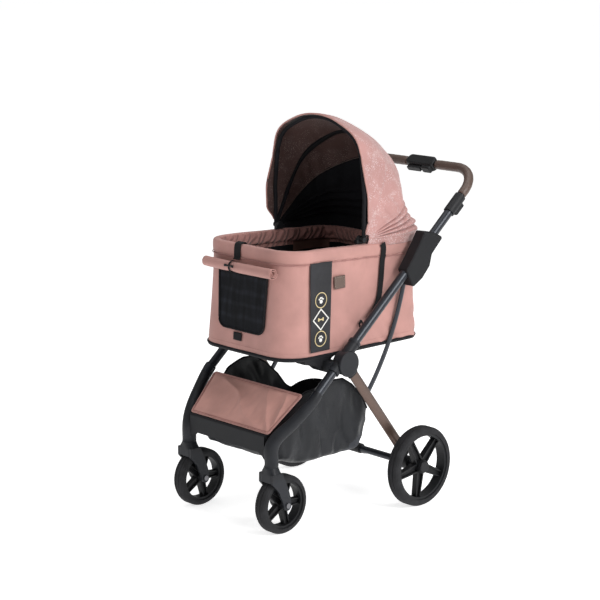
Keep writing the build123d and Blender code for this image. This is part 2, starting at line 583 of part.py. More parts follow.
hood_rear -= x_rod(HOOD_Y, HOOD_Z, -300, 300, HINGE_CLEAR)
hood_rear -= Pos(0, HOOD_Y, HOOD_Z) * Box(2 * HINGE_PIN_OUT, 40, 30)

# ---------------------------------------------------------------- export
save("front_tubes", group(front_tube, other_side(front_tube)))
save_pair("push_tube", push_tube)
save_pair("front_leg", front_leg)
save_pair("hinge_bracket", bracket)
save("hinge_covers", group(cover, other_side(cover)))
save("hinge_pins", group(pin, other_side(pin)))
save("carrier_saddles", group(saddle, other_side(saddle)))
save("tube_collars", group(collar, other_side(collar)))
save_pair("height_button", height_button)
save("front_crossbar", crossbar)
save("basket", basket)
save("basket_panel", panel)
save_pair("rear_leg", rear_leg)
save("leg_yokes", group(yoke, other_side(yoke)))
save("leg_feet", group(foot, other_side(foot)))
save("rear_axle", rear_axle)
save("axle_pins", group(axle_pin, other_side(axle_pin)))
save("strut_pins", group(strut_pin, other_side(strut_pin)))
save("brake_pedal", pedal)
save_pair("strut", strut)
save_pair("slider_housing", slider)
save("handlebar", handlebar)
save("grips", group(grip_solids[0], grip_solids[-1]))
save("handle_centre", centre)
save("fold_trigger", trigger)
save_pair("rear_rim", rear_rim)
save_pair("rear_tyre", rear_tyre)
save_pair("hub_cap", hub_cap)
save_pair("front_rim", front_rim)
save_pair("front_tyre", front_tyre)
save_pair("front_fork", fork)
save("caster_pins", group(caster_pin, other_side(caster_pin)))
save_pair("front_bolt", front_bolt)
save("carrier_tray", tray)
save("carrier_body", body)
save("carrier_rim", rim)
save("carrier_cushion", cushion)
save("window_mesh", window)
save("window_roll", roll)
save("rim_buckle", buckle)
save("hood_hinges", hood_hinge)
save("hood_front", hood_front)
save("hood_middle", hood_middle)
save("hood_rear", hood_rear)
save("hood_front_hoop", front_hoop)
save("hood_middle_hoop", middle_hoop)
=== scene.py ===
import bpy
import math
from mathutils import Matrix, Vector, noise
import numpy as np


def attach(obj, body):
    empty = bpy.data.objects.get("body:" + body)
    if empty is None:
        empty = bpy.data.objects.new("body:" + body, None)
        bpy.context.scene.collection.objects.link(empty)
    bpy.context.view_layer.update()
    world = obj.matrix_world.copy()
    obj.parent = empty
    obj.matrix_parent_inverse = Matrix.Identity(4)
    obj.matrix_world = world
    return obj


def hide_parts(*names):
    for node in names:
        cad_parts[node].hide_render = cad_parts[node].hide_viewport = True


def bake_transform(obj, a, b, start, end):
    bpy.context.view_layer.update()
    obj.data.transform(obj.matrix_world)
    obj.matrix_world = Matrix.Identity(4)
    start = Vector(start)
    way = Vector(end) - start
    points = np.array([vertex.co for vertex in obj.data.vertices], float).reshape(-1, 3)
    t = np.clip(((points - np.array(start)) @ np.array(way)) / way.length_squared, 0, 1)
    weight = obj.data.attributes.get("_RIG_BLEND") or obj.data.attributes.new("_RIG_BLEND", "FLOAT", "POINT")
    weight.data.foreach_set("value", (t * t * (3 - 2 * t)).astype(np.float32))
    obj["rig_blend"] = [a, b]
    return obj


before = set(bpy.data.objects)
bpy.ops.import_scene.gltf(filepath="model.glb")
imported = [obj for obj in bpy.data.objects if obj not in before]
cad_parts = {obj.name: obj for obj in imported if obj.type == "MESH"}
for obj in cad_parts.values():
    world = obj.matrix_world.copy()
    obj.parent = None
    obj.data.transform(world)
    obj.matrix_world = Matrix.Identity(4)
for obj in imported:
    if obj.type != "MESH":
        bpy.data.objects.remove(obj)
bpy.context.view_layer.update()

# Sizes are in millimetres. Y is measured from the middle between the axles, as in the CAD source,
# and at() moves a point to the stored frame.
ORIGIN_Y = 111.63
MM = 0.001


def at(x, y, z):
    return Vector((x, y - ORIGIN_Y, z)) * MM


# ---------------------------------------------------------------- main sizes
BEAM_X = 240.0
BEAM_ANGLE = math.radians(40.7)
BEAM_Y, BEAM_Z = -53.7, 501.9
HANDLE_TOP = 780.0
HANDLE_BEND_R = 90.0
GRIP_START = 672.0
GRIP_R = 15.2
CENTRE_HALF = 58.0

CARRIER_FRONT, CARRIER_REAR = -240.0, 325.0
FRONT_LEAN, REAR_LEAN = 16.0, 3.0
CARRIER_HALF_W, CARRIER_TOP_HALF_W = 208.0, 197.0
FRONT_CORNER, REAR_CORNER = 90.0, 60.0
TRAY_TOP, RIM_BOTTOM, RIM_TOP = 521.0, 785.0, 828.0
WALL = 8.0

HOOD_Y, HOOD_Z = 78.0, 840.0
HOOD_FRONT_ANGLE, HOOD_MID_ANGLE = 89.0, 64.0
HOOD_EDGE_ANGLE = 92.0


def lerp(a, b, t):
    return a + (b - a) * t


def smooth(t):
    t = min(1.0, max(0.0, t))
    return t * t * (3 - 2 * t)


def curve_value(stops, t):
    """Value on a smooth line through (t, value) stops."""
    if t <= stops[0][0]:
        return stops[0][1]
    for (t0, v0), (t1, v1) in zip(stops, stops[1:]):
        if t <= t1:
            return lerp(v0, v1, smooth((t - t0) / (t1 - t0)))
    return stops[-1][1]


def line_value(stops, t):
    """Value on straight runs through (t, value) stops."""
    if t <= stops[0][0]:
        return stops[0][1]
    for (t0, v0), (t1, v1) in zip(stops, stops[1:]):
        if t <= t1:
            return lerp(v0, v1, (t - t0) / (t1 - t0))
    return stops[-1][1]


def wander(x, y, z, scale, seed=0.0):
    """Smooth noise from -1 to 1; scale is its size in millimetres."""
    return noise.noise(Vector((x / scale + seed, y / scale - seed, z / scale + 2 * seed)))


# ---------------------------------------------------------------- materials
class Tree:
    """Node tree of a new principled material."""

    def __init__(self, name, color, roughness, metallic=0.0, **sockets):
        self.material = bpy.data.materials.new(name)
        self.material.use_nodes = True
        self.nodes, self.links = self.material.node_tree.nodes, self.material.node_tree.links
        self.shader = self.nodes["Principled BSDF"]
        self.shader.inputs["Base Color"].default_value = (*color, 1.0)
        self.shader.inputs["Roughness"].default_value = roughness
        self.shader.inputs["Metallic"].default_value = metallic
        for socket, value in sockets.items():
            self.shader.inputs[socket.replace("_", " ")].default_value = value
        coords = self.nodes.new("ShaderNodeTexCoord")
        self.place, self.cloth = coords.outputs["Object"], coords.outputs["UV"]

    def add(self, kind, output, values=(), **linked):
        """New node with socket values; linked names a socket and what feeds it. Returns its output."""
        node = self.nodes.new(kind)
        for socket, value in values:
            node.inputs[socket].default_value = value
        for socket, source in linked.items():
            self.links.new(source, node.inputs[socket])
        return node.outputs[output]

    def noise(self, scale, detail=3.0, roughness=0.5, vector=None):
        values = (("Scale", scale), ("Detail", detail), ("Roughness", roughness))
        return self.add("ShaderNodeTexNoise", "Fac", values, Vector=vector or self.place)

    def cells(self, scale):
        """Voronoi cells; the distance from each cell's middle."""
        return self.add("ShaderNodeTexVoronoi", "Distance", (("Scale", scale),), Vector=self.place)

    def ramp(self, value, stops):
        color = self.add("ShaderNodeValToRGB", "Color", Fac=value)
        elements = color.node.color_ramp.elements
        while len(elements) < len(stops):
            elements.new(0.5)
        for element, (position, tone) in zip(elements, stops):
            element.position = position
            element.color = (*tone, 1.0)
        return color

    def math(self, operation, first, second):
        node = self.nodes.new("ShaderNodeMath")
        node.operation = operation
        self.feed(node.inputs[0], first)
        self.feed(node.inputs[1], second)
        return node.outputs["Value"]

    def feed(self, socket, value):
        """Sets a socket from another socket, a number or a colour."""
        if isinstance(value, bpy.types.NodeSocket):
            self.links.new(value, socket)
        else:
            socket.default_value = (*value, 1.0) if isinstance(value, tuple) else value

    def mix(self, factor, first, second):
        node = self.nodes.new("ShaderNodeMix")
        node.data_type = "RGBA"
        for socket, value in (("Factor", factor), ("A", first), ("B", second)):
            self.feed(node.inputs[socket], value)
        return node.outputs["Result"]

    def mapping(self, rotation, scale=(1.0, 1.0, 1.0)):
        """The piece's own coordinates, turned and stretched."""
        return self.add("ShaderNodeMapping", "Vector", (("Rotation", rotation), ("Scale", scale)),
                        Vector=self.place)

    def color(self, source):
        self.links.new(source, self.shader.inputs["Base Color"])

    def vary_roughness(self, value, swing, base):
        """Roughness of base plus swing times a 0 to 1 value."""
        rough = self.math("MULTIPLY_ADD", value, swing)
        rough.node.inputs[2].default_value = base
        self.links.new(rough, self.shader.inputs["Roughness"])

    def bump(self, height, strength, distance, **over):
        values = (("Strength", strength), ("Distance", distance))
        normal = self.add("ShaderNodeBump", "Normal", values, Height=height, **over)
        self.links.new(normal, self.shader.inputs["Normal"])

    def weave(self, threads_per_metre):
        """Plain weave: two crossed sets of fine waves on the piece's own cloth coordinates."""
        split = self.nodes.new("ShaderNodeSeparateXYZ")
        self.links.new(self.cloth, split.inputs["Vector"])
        waves = []
        for axis in ("X", "Y"):
            angle = self.math("MULTIPLY", split.outputs[axis], math.pi * threads_per_metre)
            waves.append(self.math("SINE", angle, 0.0))
        return self.math("MULTIPLY", *waves)


def scaled(color, factor):
    return tuple(min(1.0, channel * factor) for channel in color)


def cloth_tree(name, color, roughness=0.75, weave=900.0, sheen=0.3, mottle=0.10, grain=0.12, gloss=0.35):
    """Coated woven cloth, mottled a little, with a fine weave and soft handling creases."""
    tree = Tree(
        name, color, roughness, Sheen_Weight=sheen, Sheen_Roughness=0.5, Specular_IOR_Level=gloss)
    blotch = tree.noise(14.0, 4.0)
    spread = [(0.3, scaled(color, 1 - mottle)), (0.7, scaled(color, 1 + mottle))]
    tint = tree.ramp(blotch, spread)
    tree.color(tint)
    weave_out = tree.weave(weave)
    slub = tree.noise(420.0, 2.0)
    crease = tree.noise(38.0, 5.0, 0.62)
    height = tree.math("MULTIPLY", weave_out, 0.10)
    height = tree.math("ADD", height, tree.math("MULTIPLY", slub, grain))
    height = tree.math("ADD", height, tree.math("MULTIPLY", crease, 0.9))
    tree.bump(height, 0.35, 0.0014)
    rough = tree.noise(90.0, 3.0)
    tree.vary_roughness(rough, 0.16, roughness - 0.08)
    return tree


def cloth_material(*args, **looks):
    return cloth_tree(*args, **looks).material


def quilted_material(name, color):
    """Lining cloth gathered into slanting ridges."""
    tree = cloth_tree(name, color, roughness=0.7, sheen=0.12)
    fine = tree.shader.inputs["Normal"].links[0].from_socket
    turned = tree.mapping((math.radians(35), 0.0, math.radians(45)))
    values = (("Scale", 22.0), ("Distortion", 2.5), ("Detail Scale", 2.0))
    ridges = tree.add("ShaderNodeTexWave", "Fac", values, Vector=turned)
    tree.bump(ridges, 0.8, 0.006, Normal=fine)
    return tree.material


def glitter_material(name, color, fleck_color, amount, vein_strength):
    """Cloth printed with fine marbled veins of silver flecks."""
    tree = Tree(
        name, color, 0.55, Sheen_Weight=0.25, Sheen_Roughness=0.4)
    ridge = tree.math("SUBTRACT", tree.noise(11.0, 5.0), 0.5)
    ridge = tree.math("ABSOLUTE", ridge, 0.0)
    vein = tree.ramp(ridge, [(0.0, (1, 1, 1)), (0.10, (0, 0, 0))])
    fleck = tree.cells(240.0)
    spark = tree.ramp(fleck, [(0.16, (1, 1, 1)), (0.34, (0, 0, 0))])
    patch = tree.noise(26.0, 4.0, 0.7)
    patch = tree.ramp(patch, [(0.48, (0, 0, 0)), (0.62, (1, 1, 1))])
    dense = tree.math("MAXIMUM", vein, tree.math("MULTIPLY", patch, 0.3))
    mask = tree.math("MULTIPLY", spark, tree.math("MULTIPLY", dense, amount))
    veined = tree.math("MULTIPLY", vein, vein_strength)
    veined = tree.math("MULTIPLY", veined, patch)
    mask = tree.math("MAXIMUM", mask, veined)
    blotch = tree.noise(9.0, 4.0)
    tint = tree.ramp(blotch, [(0.3, scaled(color, 0.90)), (0.7, scaled(color, 1.08))])
    tree.color(tree.mix(mask, tint, fleck_color))
    tree.links.new(tree.math("MULTIPLY", mask, 0.7), tree.shader.inputs["Metallic"])
    crease = tree.noise(30.0, 5.0, 0.6)
    weave_out = tree.weave(900.0)
    weave_out = tree.math("MULTIPLY", weave_out, 0.08)
    tree.bump(tree.math("ADD", crease, weave_out), 0.35, 0.0016)
    return tree.material


def mesh_cloth_material(name, color):
    """Open net: a honeycomb of fine dark threads with darker holes."""
    tree = Tree(name, color, 0.75, Specular_IOR_Level=0.12)
    holes = tree.add("ShaderNodeTexVoronoi", "Distance", (("Scale", 420.0), ("Randomness", 0.12)),
                     Vector=tree.place)
    holes.node.feature = "DISTANCE_TO_EDGE"
    tint = tree.ramp(holes, [(0.08, scaled(color, 2.6)), (0.26, scaled(color, 0.25))])
    slant = tree.mapping((0.0, math.radians(38), 0.0), (1.0, 1.0, 0.12))
    streak = tree.ramp(tree.noise(70.0, 3.0, vector=slant),
                       [(0.40, (0.5, 0.5, 0.5)), (0.70, (1.1, 1.1, 1.2))])
    tinted = tree.mix(1.0, tint, streak)
    tinted.node.blend_type = "MULTIPLY"
    tree.color(tinted)
    tree.bump(holes, 0.5, -0.0006)
    return tree.material


def paint_material(name, color, roughness=0.38, metallic=0.55, grain=900.0):
    """Metallic powder coat with a fine orange peel and rubbed patches."""
    tree = Tree(
        name, color, roughness, metallic, Coat_Weight=0.12, Coat_Roughness=0.25)
    peel = tree.noise(grain, 2.0)
    flake = tree.noise(2400.0, 1.0)
    tint = tree.ramp(flake, [(0.35, scaled(color, 0.82)), (0.65, scaled(color, 1.25))])
    tree.color(tint)
    rub = tree.noise(16.0, 5.0, 0.6)
    tree.vary_roughness(rub, 0.18, roughness - 0.09)
    tree.bump(peel, 0.12, 0.0005)
    return tree.material


def plastic_material(name, color, roughness=0.5, grain=1300.0):
    """Spark-textured moulded plastic, paler on convex edges: partly rubbed wear, partly a painted highlight
    along the bevels.
    """
    tree = Tree(name, color, roughness, Specular_IOR_Level=0.26)
    pits = tree.cells(grain)
    cloud = tree.noise(24.0, 4.0)
    tint = tree.ramp(cloud, [(0.35, scaled(color, 0.88)), (0.65, scaled(color, 1.15))])
    # convex edges lightened by pointiness: rubbed wear plus a painted highlight on the bevels
    edge_wear_and_highlight = tree.ramp(tree.add("ShaderNodeNewGeometry", "Pointiness"), [(0.52, (0, 0, 0)), (0.60, (1, 1, 1))])
    worn_and_highlit = tree.mix(tree.math("MULTIPLY", edge_wear_and_highlight, 0.35), tint, scaled(color, 2.2))
    tree.color(worn_and_highlit)
    tree.vary_roughness(cloud, 0.14, roughness - 0.07)
    tree.bump(pits, 0.18, 0.0004)
    return tree.material


def tyre_material(name, color):
    """Foam rubber, with dusty patches and a fine pebbled skin."""
    tree = Tree(name, color, 0.86, Specular_IOR_Level=0.25)
    dust = tree.noise(30.0, 6.0, 0.65)
    tint = tree.ramp(dust, [(0.4, color), (0.75, scaled(color, 1.7))])
    tree.color(tint)
    pebble = tree.noise(1100.0, 3.0)
    tree.bump(pebble, 0.35, 0.0007)
    return tree.material


def leather_material(name, color):
    """Synthetic leather: cell grain, soft gloss and darker creases."""
    tree = Tree(
        name, color, 0.45, Coat_Weight=0.1, Coat_Roughness=0.4)
    cells = tree.cells(700.0)
    tint = tree.ramp(cells, [(0.1, scaled(color, 1.12)), (0.7, scaled(color, 0.75))])
    tree.color(tint)
    tree.vary_roughness(tree.noise(60.0, 4.0), 0.2, 0.36)
    tree.bump(cells, 0.3, -0.0006)
    return tree.material


def steel_material(name, color):
    """Black-plated steel with faint turning marks."""
    tree = Tree(name, color, 0.32, 1.0)
    marks = tree.noise(800.0, 2.0)
    tree.vary_roughness(marks, 0.2, 0.22)
    tree.bump(marks, 0.1, 0.0003)
    return tree.material


def paper_material(name, color):
    """Matte studio paper that glows a little, so that it stays pale."""
    tree = Tree(
        name, color, 1.0, Emission_Color=(1, 1, 1, 1), Emission_Strength=0.7, Specular_IOR_Level=0.1)
    cloud = tree.noise(0.8, 2.0)
    tint = tree.ramp(cloud, [(0.3, scaled(color, 0.985)), (0.7, color)])
    tree.color(tint)
    return tree.material


ROSE = (0.43, 0.224, 0.198)
rose = cloth_material("rose_cloth", ROSE, roughness=0.66, sheen=0.10)
pad_rose = cloth_material("rose_pad_cloth", (0.53, 0.275, 0.235), roughness=0.6, sheen=0.10)
rose_dark = cloth_material("rose_seam", (0.33, 0.155, 0.140), roughness=0.7, sheen=0.12)
rose_quilt = quilted_material("rose_quilting", (0.36, 0.172, 0.152))
# rose cloth darkened to paint the shade on the liner's rear side walls; used for the pleated panels there
rose_painted_shade = cloth_material("rose_pleats", (0.17, 0.085, 0.066), roughness=0.75, sheen=0.05)
hood_outer = glitter_material("hood_print", (0.41, 0.214, 0.198), (0.92, 0.88, 0.88), 0.9, 0.13)
hood_inner = glitter_material("hood_lining", (0.082, 0.042, 0.036), (0.55, 0.45, 0.43), 0.6, 0.06)
black_cloth = cloth_material("black_cloth", (0.011, 0.011, 0.013), roughness=0.85, sheen=0.02, mottle=0.25,
                             gloss=0.12)
basket_cloth = cloth_material("basket_cloth", (0.011, 0.012, 0.0145), roughness=0.5, sheen=0.04, mottle=0.2,
                              gloss=0.28)
gusset_cloth = cloth_material("basket_gusset", (0.032, 0.035, 0.043), roughness=0.7, sheen=0.06, mottle=0.15,
                              gloss=0.3)
band_cloth = cloth_material("band_cloth", (0.021, 0.021, 0.024), roughness=0.8, sheen=0.04, mottle=0.2)
webbing = cloth_material("black_webbing", (0.008, 0.008, 0.009), roughness=0.75, weave=500.0, sheen=0.04,
                         mottle=0.2, grain=0.5, gloss=0.15)
net = mesh_cloth_material("black_net", (0.0055, 0.0060, 0.0075))
label_white = cloth_material("label_white", (0.75, 0.74, 0.70), roughness=0.7, mottle=0.05)
label_gold = cloth_material("label_gold", (0.62, 0.50, 0.26), roughness=0.6, mottle=0.08)
leather = leather_material("brown_leather", (0.094, 0.058, 0.045))
badge_leather = leather_material("badge_leather", (0.115, 0.072, 0.055))
thread = cloth_material("pale_thread", (0.42, 0.36, 0.30), roughness=0.7)
slate_paint = paint_material("slate_paint", (0.020, 0.023, 0.030), roughness=0.34)
bronze_paint = paint_material("bronze_paint", (0.105, 0.068, 0.054), roughness=0.36, metallic=0.6)
black_plastic = plastic_material("black_plastic", (0.0075, 0.0078, 0.009), 0.5)
charcoal_plastic = plastic_material("charcoal_plastic", (0.011, 0.012, 0.015), 0.5)
dull_plastic = plastic_material("dull_plastic", (0.0055, 0.0058, 0.0072), 0.6)
rubber = tyre_material("tyre_rubber", (0.017, 0.017, 0.0185))
steel = steel_material("dark_steel", (0.16, 0.16, 0.17))
floor_paper = paper_material("floor_paper", (0.90, 0.90, 0.90))

NODE_MATERIALS = {
    slate_paint: ["front_tubes", "push_tube_left", "push_tube_right", "handlebar", "strut_left",
                  "strut_right", "rear_axle"],
    bronze_paint: ["rear_leg_left", "rear_leg_right"],
    charcoal_plastic: ["front_leg_left", "front_leg_right", "hinge_bracket_left", "hinge_bracket_right",
                       "hinge_covers", "front_fork_left", "front_fork_right"],
    dull_plastic: ["slider_housing_left", "slider_housing_right", "front_crossbar"],
    black_plastic: ["carrier_saddles", "tube_collars", "height_button_left", "height_button_right",
                    "leg_yokes", "leg_feet", "brake_pedal", "handle_centre", "fold_trigger",
                    "rear_rim_left", "rear_rim_right", "front_rim_left", "front_rim_right", "hub_cap_left",
                    "hub_cap_right", "carrier_tray", "hood_hinges", "hood_front_hoop", "hood_middle_hoop",
                    "rim_buckle"],
    rubber: ["rear_tyre_left", "rear_tyre_right", "front_tyre_left", "front_tyre_right"],
    steel: ["hinge_pins", "axle_pins", "strut_pins", "caster_pins", "front_bolt_left", "front_bolt_right"],
}
for material, names in NODE_MATERIALS.items():
    for name in names:
        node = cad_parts[name]
        node.data.materials.clear()
        node.data.materials.append(material)


# ---------------------------------------------------------------- mesh helpers
def make_piece(name, points, faces, materials):
    """Mesh object from points in millimetres."""
    mesh = bpy.data.meshes.new(name)
    mesh.from_pydata([at(*point) for point in points], [], faces)
    mesh.update()
    piece = bpy.data.objects.new(name, mesh)
    bpy.context.scene.collection.objects.link(piece)
    for material in materials:
        mesh.materials.append(material)
    for polygon in mesh.polygons:
        polygon.use_smooth = True
    return piece


def cloth_grid(name, rows, materials, close=False, pick=None):
    """Sheet through rows of points, with cloth coordinates in metres.

    close joins each row's end to its start; pick(row, column) gives a face's material index.
    """
    count = len(rows[0])
    points = [point for row in rows for point in row]
    spans = count if close else count - 1
    faces = []
    for i in range(len(rows) - 1):
        for j in range(spans):
            k = (j + 1) % count
            faces.append((i * count + j, i * count + k, (i + 1) * count + k, (i + 1) * count + j))
    piece = make_piece(name, points, faces, materials)
    middle = rows[len(rows) // 2]
    across = [0.0]
    for a, b in zip(middle, middle[1:] + middle[:1]):
        across.append(across[-1] + math.dist(a, b) * MM)
    down = [0.0]
    for a, b in zip(rows, rows[1:]):
        down.append(down[-1] + math.dist(a[count // 3], b[count // 3]) * MM)
    layer = piece.data.uv_layers.new(name="cloth")
    for index, face in enumerate(piece.data.polygons):
        i, j = divmod(index, spans)
        for loop, (row, column) in zip(face.loop_indices, ((i, j), (i, j + 1), (i + 1, j + 1), (i + 1, j))):
            layer.data[loop].uv = (across[column], down[row])
        if pick:
            face.material_index = pick(i, j)
    return piece


def thicken(piece, thickness, inner_material=None, offset=-1.0):
    """Gives a sheet its thickness in millimetres; the inner side may have its own material."""
    solidify = piece.modifiers.new("thickness", "SOLIDIFY")
    solidify.thickness = thickness * MM
    solidify.offset = offset
    if inner_material:
        piece.data.materials.append(inner_material)
        solidify.material_offset = len(piece.data.materials) - 1
    return bake(piece)


def subdivide(piece, levels=1):
    modifier = piece.modifiers.new("smooth", "SUBSURF")
    modifier.levels = levels
    modifier.render_levels = levels
    return bake(piece)


def bake(piece):
    """Applies a piece's modifiers, so that its mesh is final."""
    graph = bpy.context.evaluated_depsgraph_get()
    mesh = bpy.data.meshes.new_from_object(piece.evaluated_get(graph))
    old = piece.data
    piece.modifiers.clear()
    piece.data = mesh
    bpy.data.meshes.remove(old)
    return piece


def tube_along(name, path, radius, materials, sides=10, closed=False, flat=1.0):
    """Round piping along a path of points; flat below 1 squashes its section."""
    rows = []
    count = len(path)
    up = Vector((0, 0, 1))
    for index, point in enumerate(path):
        before = path[(index - 1) % count] if closed else path[max(index - 1, 0)]
        after = path[(index + 1) % count] if closed else path[min(index + 1, count - 1)]
        along = (Vector(after) - Vector(before)).normalized()
        side = along.cross(up)
        if side.length < 0.2:
            side = along.cross(Vector((0, 1, 0)))
        side.normalize()
        top = side.cross(along)
        size = radius(index) if callable(radius) else radius
        ring = []
        for k in range(sides):
            turn = 2 * math.pi * k / sides
            out = side * math.cos(turn) * size
            ring.append(tuple(Vector(point) + out + top * math.sin(turn) * size * flat))
        rows.append(ring)
    if closed:
        rows.append(rows[0])
    piece = cloth_grid(name, rows, materials, close=True)
    if not closed:
        mesh = piece.data
        faces = [tuple(p.vertices) for p in mesh.polygons]
        total = len(mesh.vertices)
        faces.append(tuple(range(sides))[::-1])
        faces.append(tuple(range(total - sides, total)))
        points = [tuple(v.co) for v in mesh.vertices]
        mesh.clear_geometry()
        mesh.from_pydata(points, [], faces)
        mesh.update()
        for polygon in mesh.polygons:
            polygon.use_smooth = len(polygon.vertices) == 4
    else:
        weld(piece)
    return piece


def weld(piece, distance=0.00001):
    """Joins points that coincide."""
    modifier = piece.modifiers.new("weld", "WELD")
    modifier.merge_threshold = distance
    return bake(piece)


def dashes_along(name, path, length, gap, radius, material):
    """Row of stitches along a path: short threads, each a round spindle with tapered ends."""
    points, faces = [], []
    travelled = 0.0
    start = None
    for a, b in zip(path, path[1:]):
        step = math.dist(a, b)
        run = 0.0
        while run < step:
            phase = travelled % (length + gap)
            if phase < length:
                if start is None:
                    start = Vector(a).lerp(Vector(b), run / step)
            elif start is not None:
                end = Vector(a).lerp(Vector(b), run / step)
                add_stitch(points, faces, start, end, radius)
                start = None
            run += 0.5
            travelled += 0.5
    return make_piece(name, points, faces, [material])


def add_stitch(points, faces, start, end, radius):
    along = (end - start).normalized()
    side = along.cross(Vector((0, 0, 1)))
    if side.length < 0.2:
        side = along.cross(Vector((0, 1, 0)))
    side.normalize()
    top = side.cross(along)
    base = len(points)
    for t, size in ((0.0, 0.35), (0.25, 1.0), (0.75, 1.0), (1.0, 0.35)):
        middle = start.lerp(end, t)
        for k in range(6):
            turn = math.pi * k / 3
            points.append(tuple(middle + (side * math.cos(turn) + top * math.sin(turn)) * radius * size))
    for ring in range(3):
        for k in range(6):
            n = (k + 1) % 6
            low = base + ring * 6
            faces.append((low + k, low + n, low + 6 + n, low + 6 + k))
    faces.append(tuple(base + k for k in range(6))[::-1])
    faces.append(tuple(base + 18 + k for k in range(6)))


def puff(piece, voxel, pressure, cap):
    """Inflates a closed pad by cloth simulation; no point moves further than cap millimetres."""
    remesh = piece.modifiers.new("remesh", "REMESH")
    remesh.mode = "VOXEL"
    remesh.voxel_size = voxel * MM
    bake(piece)
    rest = [v.co.copy() for v in piece.data.vertices]
    cloth = piece.modifiers.new("cloth", "CLOTH")
    cloth.settings.use_pressure = True
    cloth.settings.uniform_pressure_force = pressure
    cloth.settings.effector_weights.gravity = 0.0
    cloth.settings.quality = 5
    cloth.point_cache.frame_start = 1
    cloth.point_cache.frame_end = 20
    for number in range(1, 21):
        bpy.context.scene.frame_set(number)
    bake(piece)
    for vertex, start in zip(piece.data.vertices, rest):
        move = vertex.co - start
        if move.length > cap * MM:
            vertex.co = start + move.normalized() * cap * MM
    bpy.context.scene.frame_set(1)
    for polygon in piece.data.polygons:
        polygon.use_smooth = True
    return piece


# ---------------------------------------------------------------- carrier surfaces
def plan_ring(half_w, front, rear, front_r, rear_r):
    """Closed outline of a rounded plan, from the rear middle through +X, the front and back."""
    half = []
    rear_n, corner_n, side_n, front_n = 10, 9, 44, 14
    for k in range(rear_n):
        half.append((lerp(0, half_w - rear_r, k / rear_n), rear))
    for k in range(corner_n):
        turn = math.pi / 2 * k / corner_n
        half.append((half_w - rear_r + rear_r * math.sin(turn), rear - rear_r + rear_r * math.cos(turn)))
    for k in range(side_n):
        half.append((half_w, lerp(rear - rear_r, front + front_r, k / side_n)))
    for k in range(corner_n + 3):
        turn = math.pi / 2 * k / (corner_n + 3)
        half.append((half_w - front_r + front_r * math.cos(turn), front + front_r - front_r * math.sin(turn)))
    for k in range(front_n + 1):
        half.append((lerp(half_w - front_r, 0, k / front_n), front))
    return half + [(-x, y) for x, y in reversed(half[1:-1])]


def wall_sizes(z, inset=0.0):
    """Half width, front and rear of the carrier wall at a height."""
    t = (z - TRAY_TOP) / (RIM_BOTTOM - TRAY_TOP)
    half = lerp(CARRIER_HALF_W, CARRIER_TOP_HALF_W, t) - inset
    front = CARRIER_FRONT + FRONT_LEAN * t + inset
    rear = CARRIER_REAR - REAR_LEAN * t - inset
    return half, front, rear


def wall_ring(z, inset=0.0):
    half, front, rear = wall_sizes(z, inset)
    return plan_ring(half, front, rear, FRONT_CORNER - inset, REAR_CORNER - inset)


def side_x(y, z, out=0.0):
    """X of the carrier's left wall at a place along it, out millimetres clear."""
    half, front, rear = wall_sizes(z, -out)
    radius = FRONT_CORNER + out
    if y < front + radius:
        reach = front + radius - y
        return half - radius + math.sqrt(max(radius * radius - reach * reach, 0.0))
    radius = REAR_CORNER + out
    if y > rear - radius:
        reach = y - rear + radius
        return half - radius + math.sqrt(max(radius * radius - reach * reach, 0.0))
    return half


def front_y(z, out=0.0):
    return wall_sizes(z, -out)[1]


RIM_LIFT = [(-240.0, 8.0), (-120.0, 6.0), (78.0, -1.0), (200.0, -8.0), (325.0, -14.0)]


def rim_shift(y):
    """How far the rim rises at the front and dips at the rear."""
    return curve_value(RIM_LIFT, y)


# outer walls: fullness between the tray and the rim, pulls under the rim, soft folds low on the sides
def wall_push(x, y, z):
    t = (z - TRAY_TOP) / (RIM_BOTTOM - TRAY_TOP)
    full = 1.6 * math.sin(math.pi * min(1, max(0, t)))
    broad = 3.4 * wander(x, y, z * 0.6, 95.0, 3.1)
    slant = 0.4 - 2.2 * abs(wander(x * 0.3, (y + z * 0.8), (y - z) * 0.16, 46.0, 7.7))
    side = smooth((abs(x) - 150) / 40)
    lower = smooth((0.55 - t) / 0.45) * smooth((y + 60) / 120) * side
    pull = smooth((t - 0.78) / 0.2) * 0.7 * math.sin((y + x) * 0.14 + 2.0 * wander(x, y, z, 60.0, 1.0))
    return full + broad + 4.5 * slant * lower + pull * (1.2 + 1.5 * side)


outer_rows = []
WALL_STEPS = 38
for i in range(WALL_STEPS + 1):
    z = lerp(TRAY_TOP - 6, RIM_BOTTOM + 6, i / WALL_STEPS)
    row = []
    ring = wall_ring(z, 0.6)
    for j, (x, y) in enumerate(ring):
        ax, ay = ring[j - 1]
        bx, by = ring[(j + 1) % len(ring)]
        nx, ny = by - ay, ax - bx
        size = math.hypot(nx, ny)
        lift = rim_shift(y) * smooth((z - 700) / 90)
        push = wall_push(x, y, z)
        row.append((x - nx / size * push * -1, y - ny / size * push * -1, z + lift))
    outer_rows.append(row)


def flip(rows):
    return [row[::-1] for row in rows]


carrier_wall = cloth_grid("carrier_wall", flip(outer_rows), [rose], close=True)
thicken(carrier_wall, 3.0, black_cloth)
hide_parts("carrier_body")
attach(carrier_wall, "carrier")

# inner liner: black below, a rose pleated band under the rim
inner_rows = []
LINER_STEPS = 26
for i in range(LINER_STEPS + 1):
    z = lerp(TRAY_TOP + 6, RIM_BOTTOM + 8, i / LINER_STEPS)
    band = smooth((z - 722) / 22)
    row = []
    ring = wall_ring(z, WALL + 2.0)
    for j, (x, y) in enumerate(ring):
        pleat = band * 3.4 * (0.5 + 0.5 * math.sin(j * 0.9 + 1.5 * wander(x, y, z, 40.0, 5.0)))
        slack = 3.0 * wander(x, y, z, 70.0, 9.0)
        inset = max(-1.0, pleat + slack)
        size = max(math.hypot(x, y - 42), 1)
        lift = rim_shift(y) * smooth((z - 700) / 90)
        row.append((x - x / size * inset, y - (y - 42) / size * inset, z + lift))
    inner_rows.append(row)


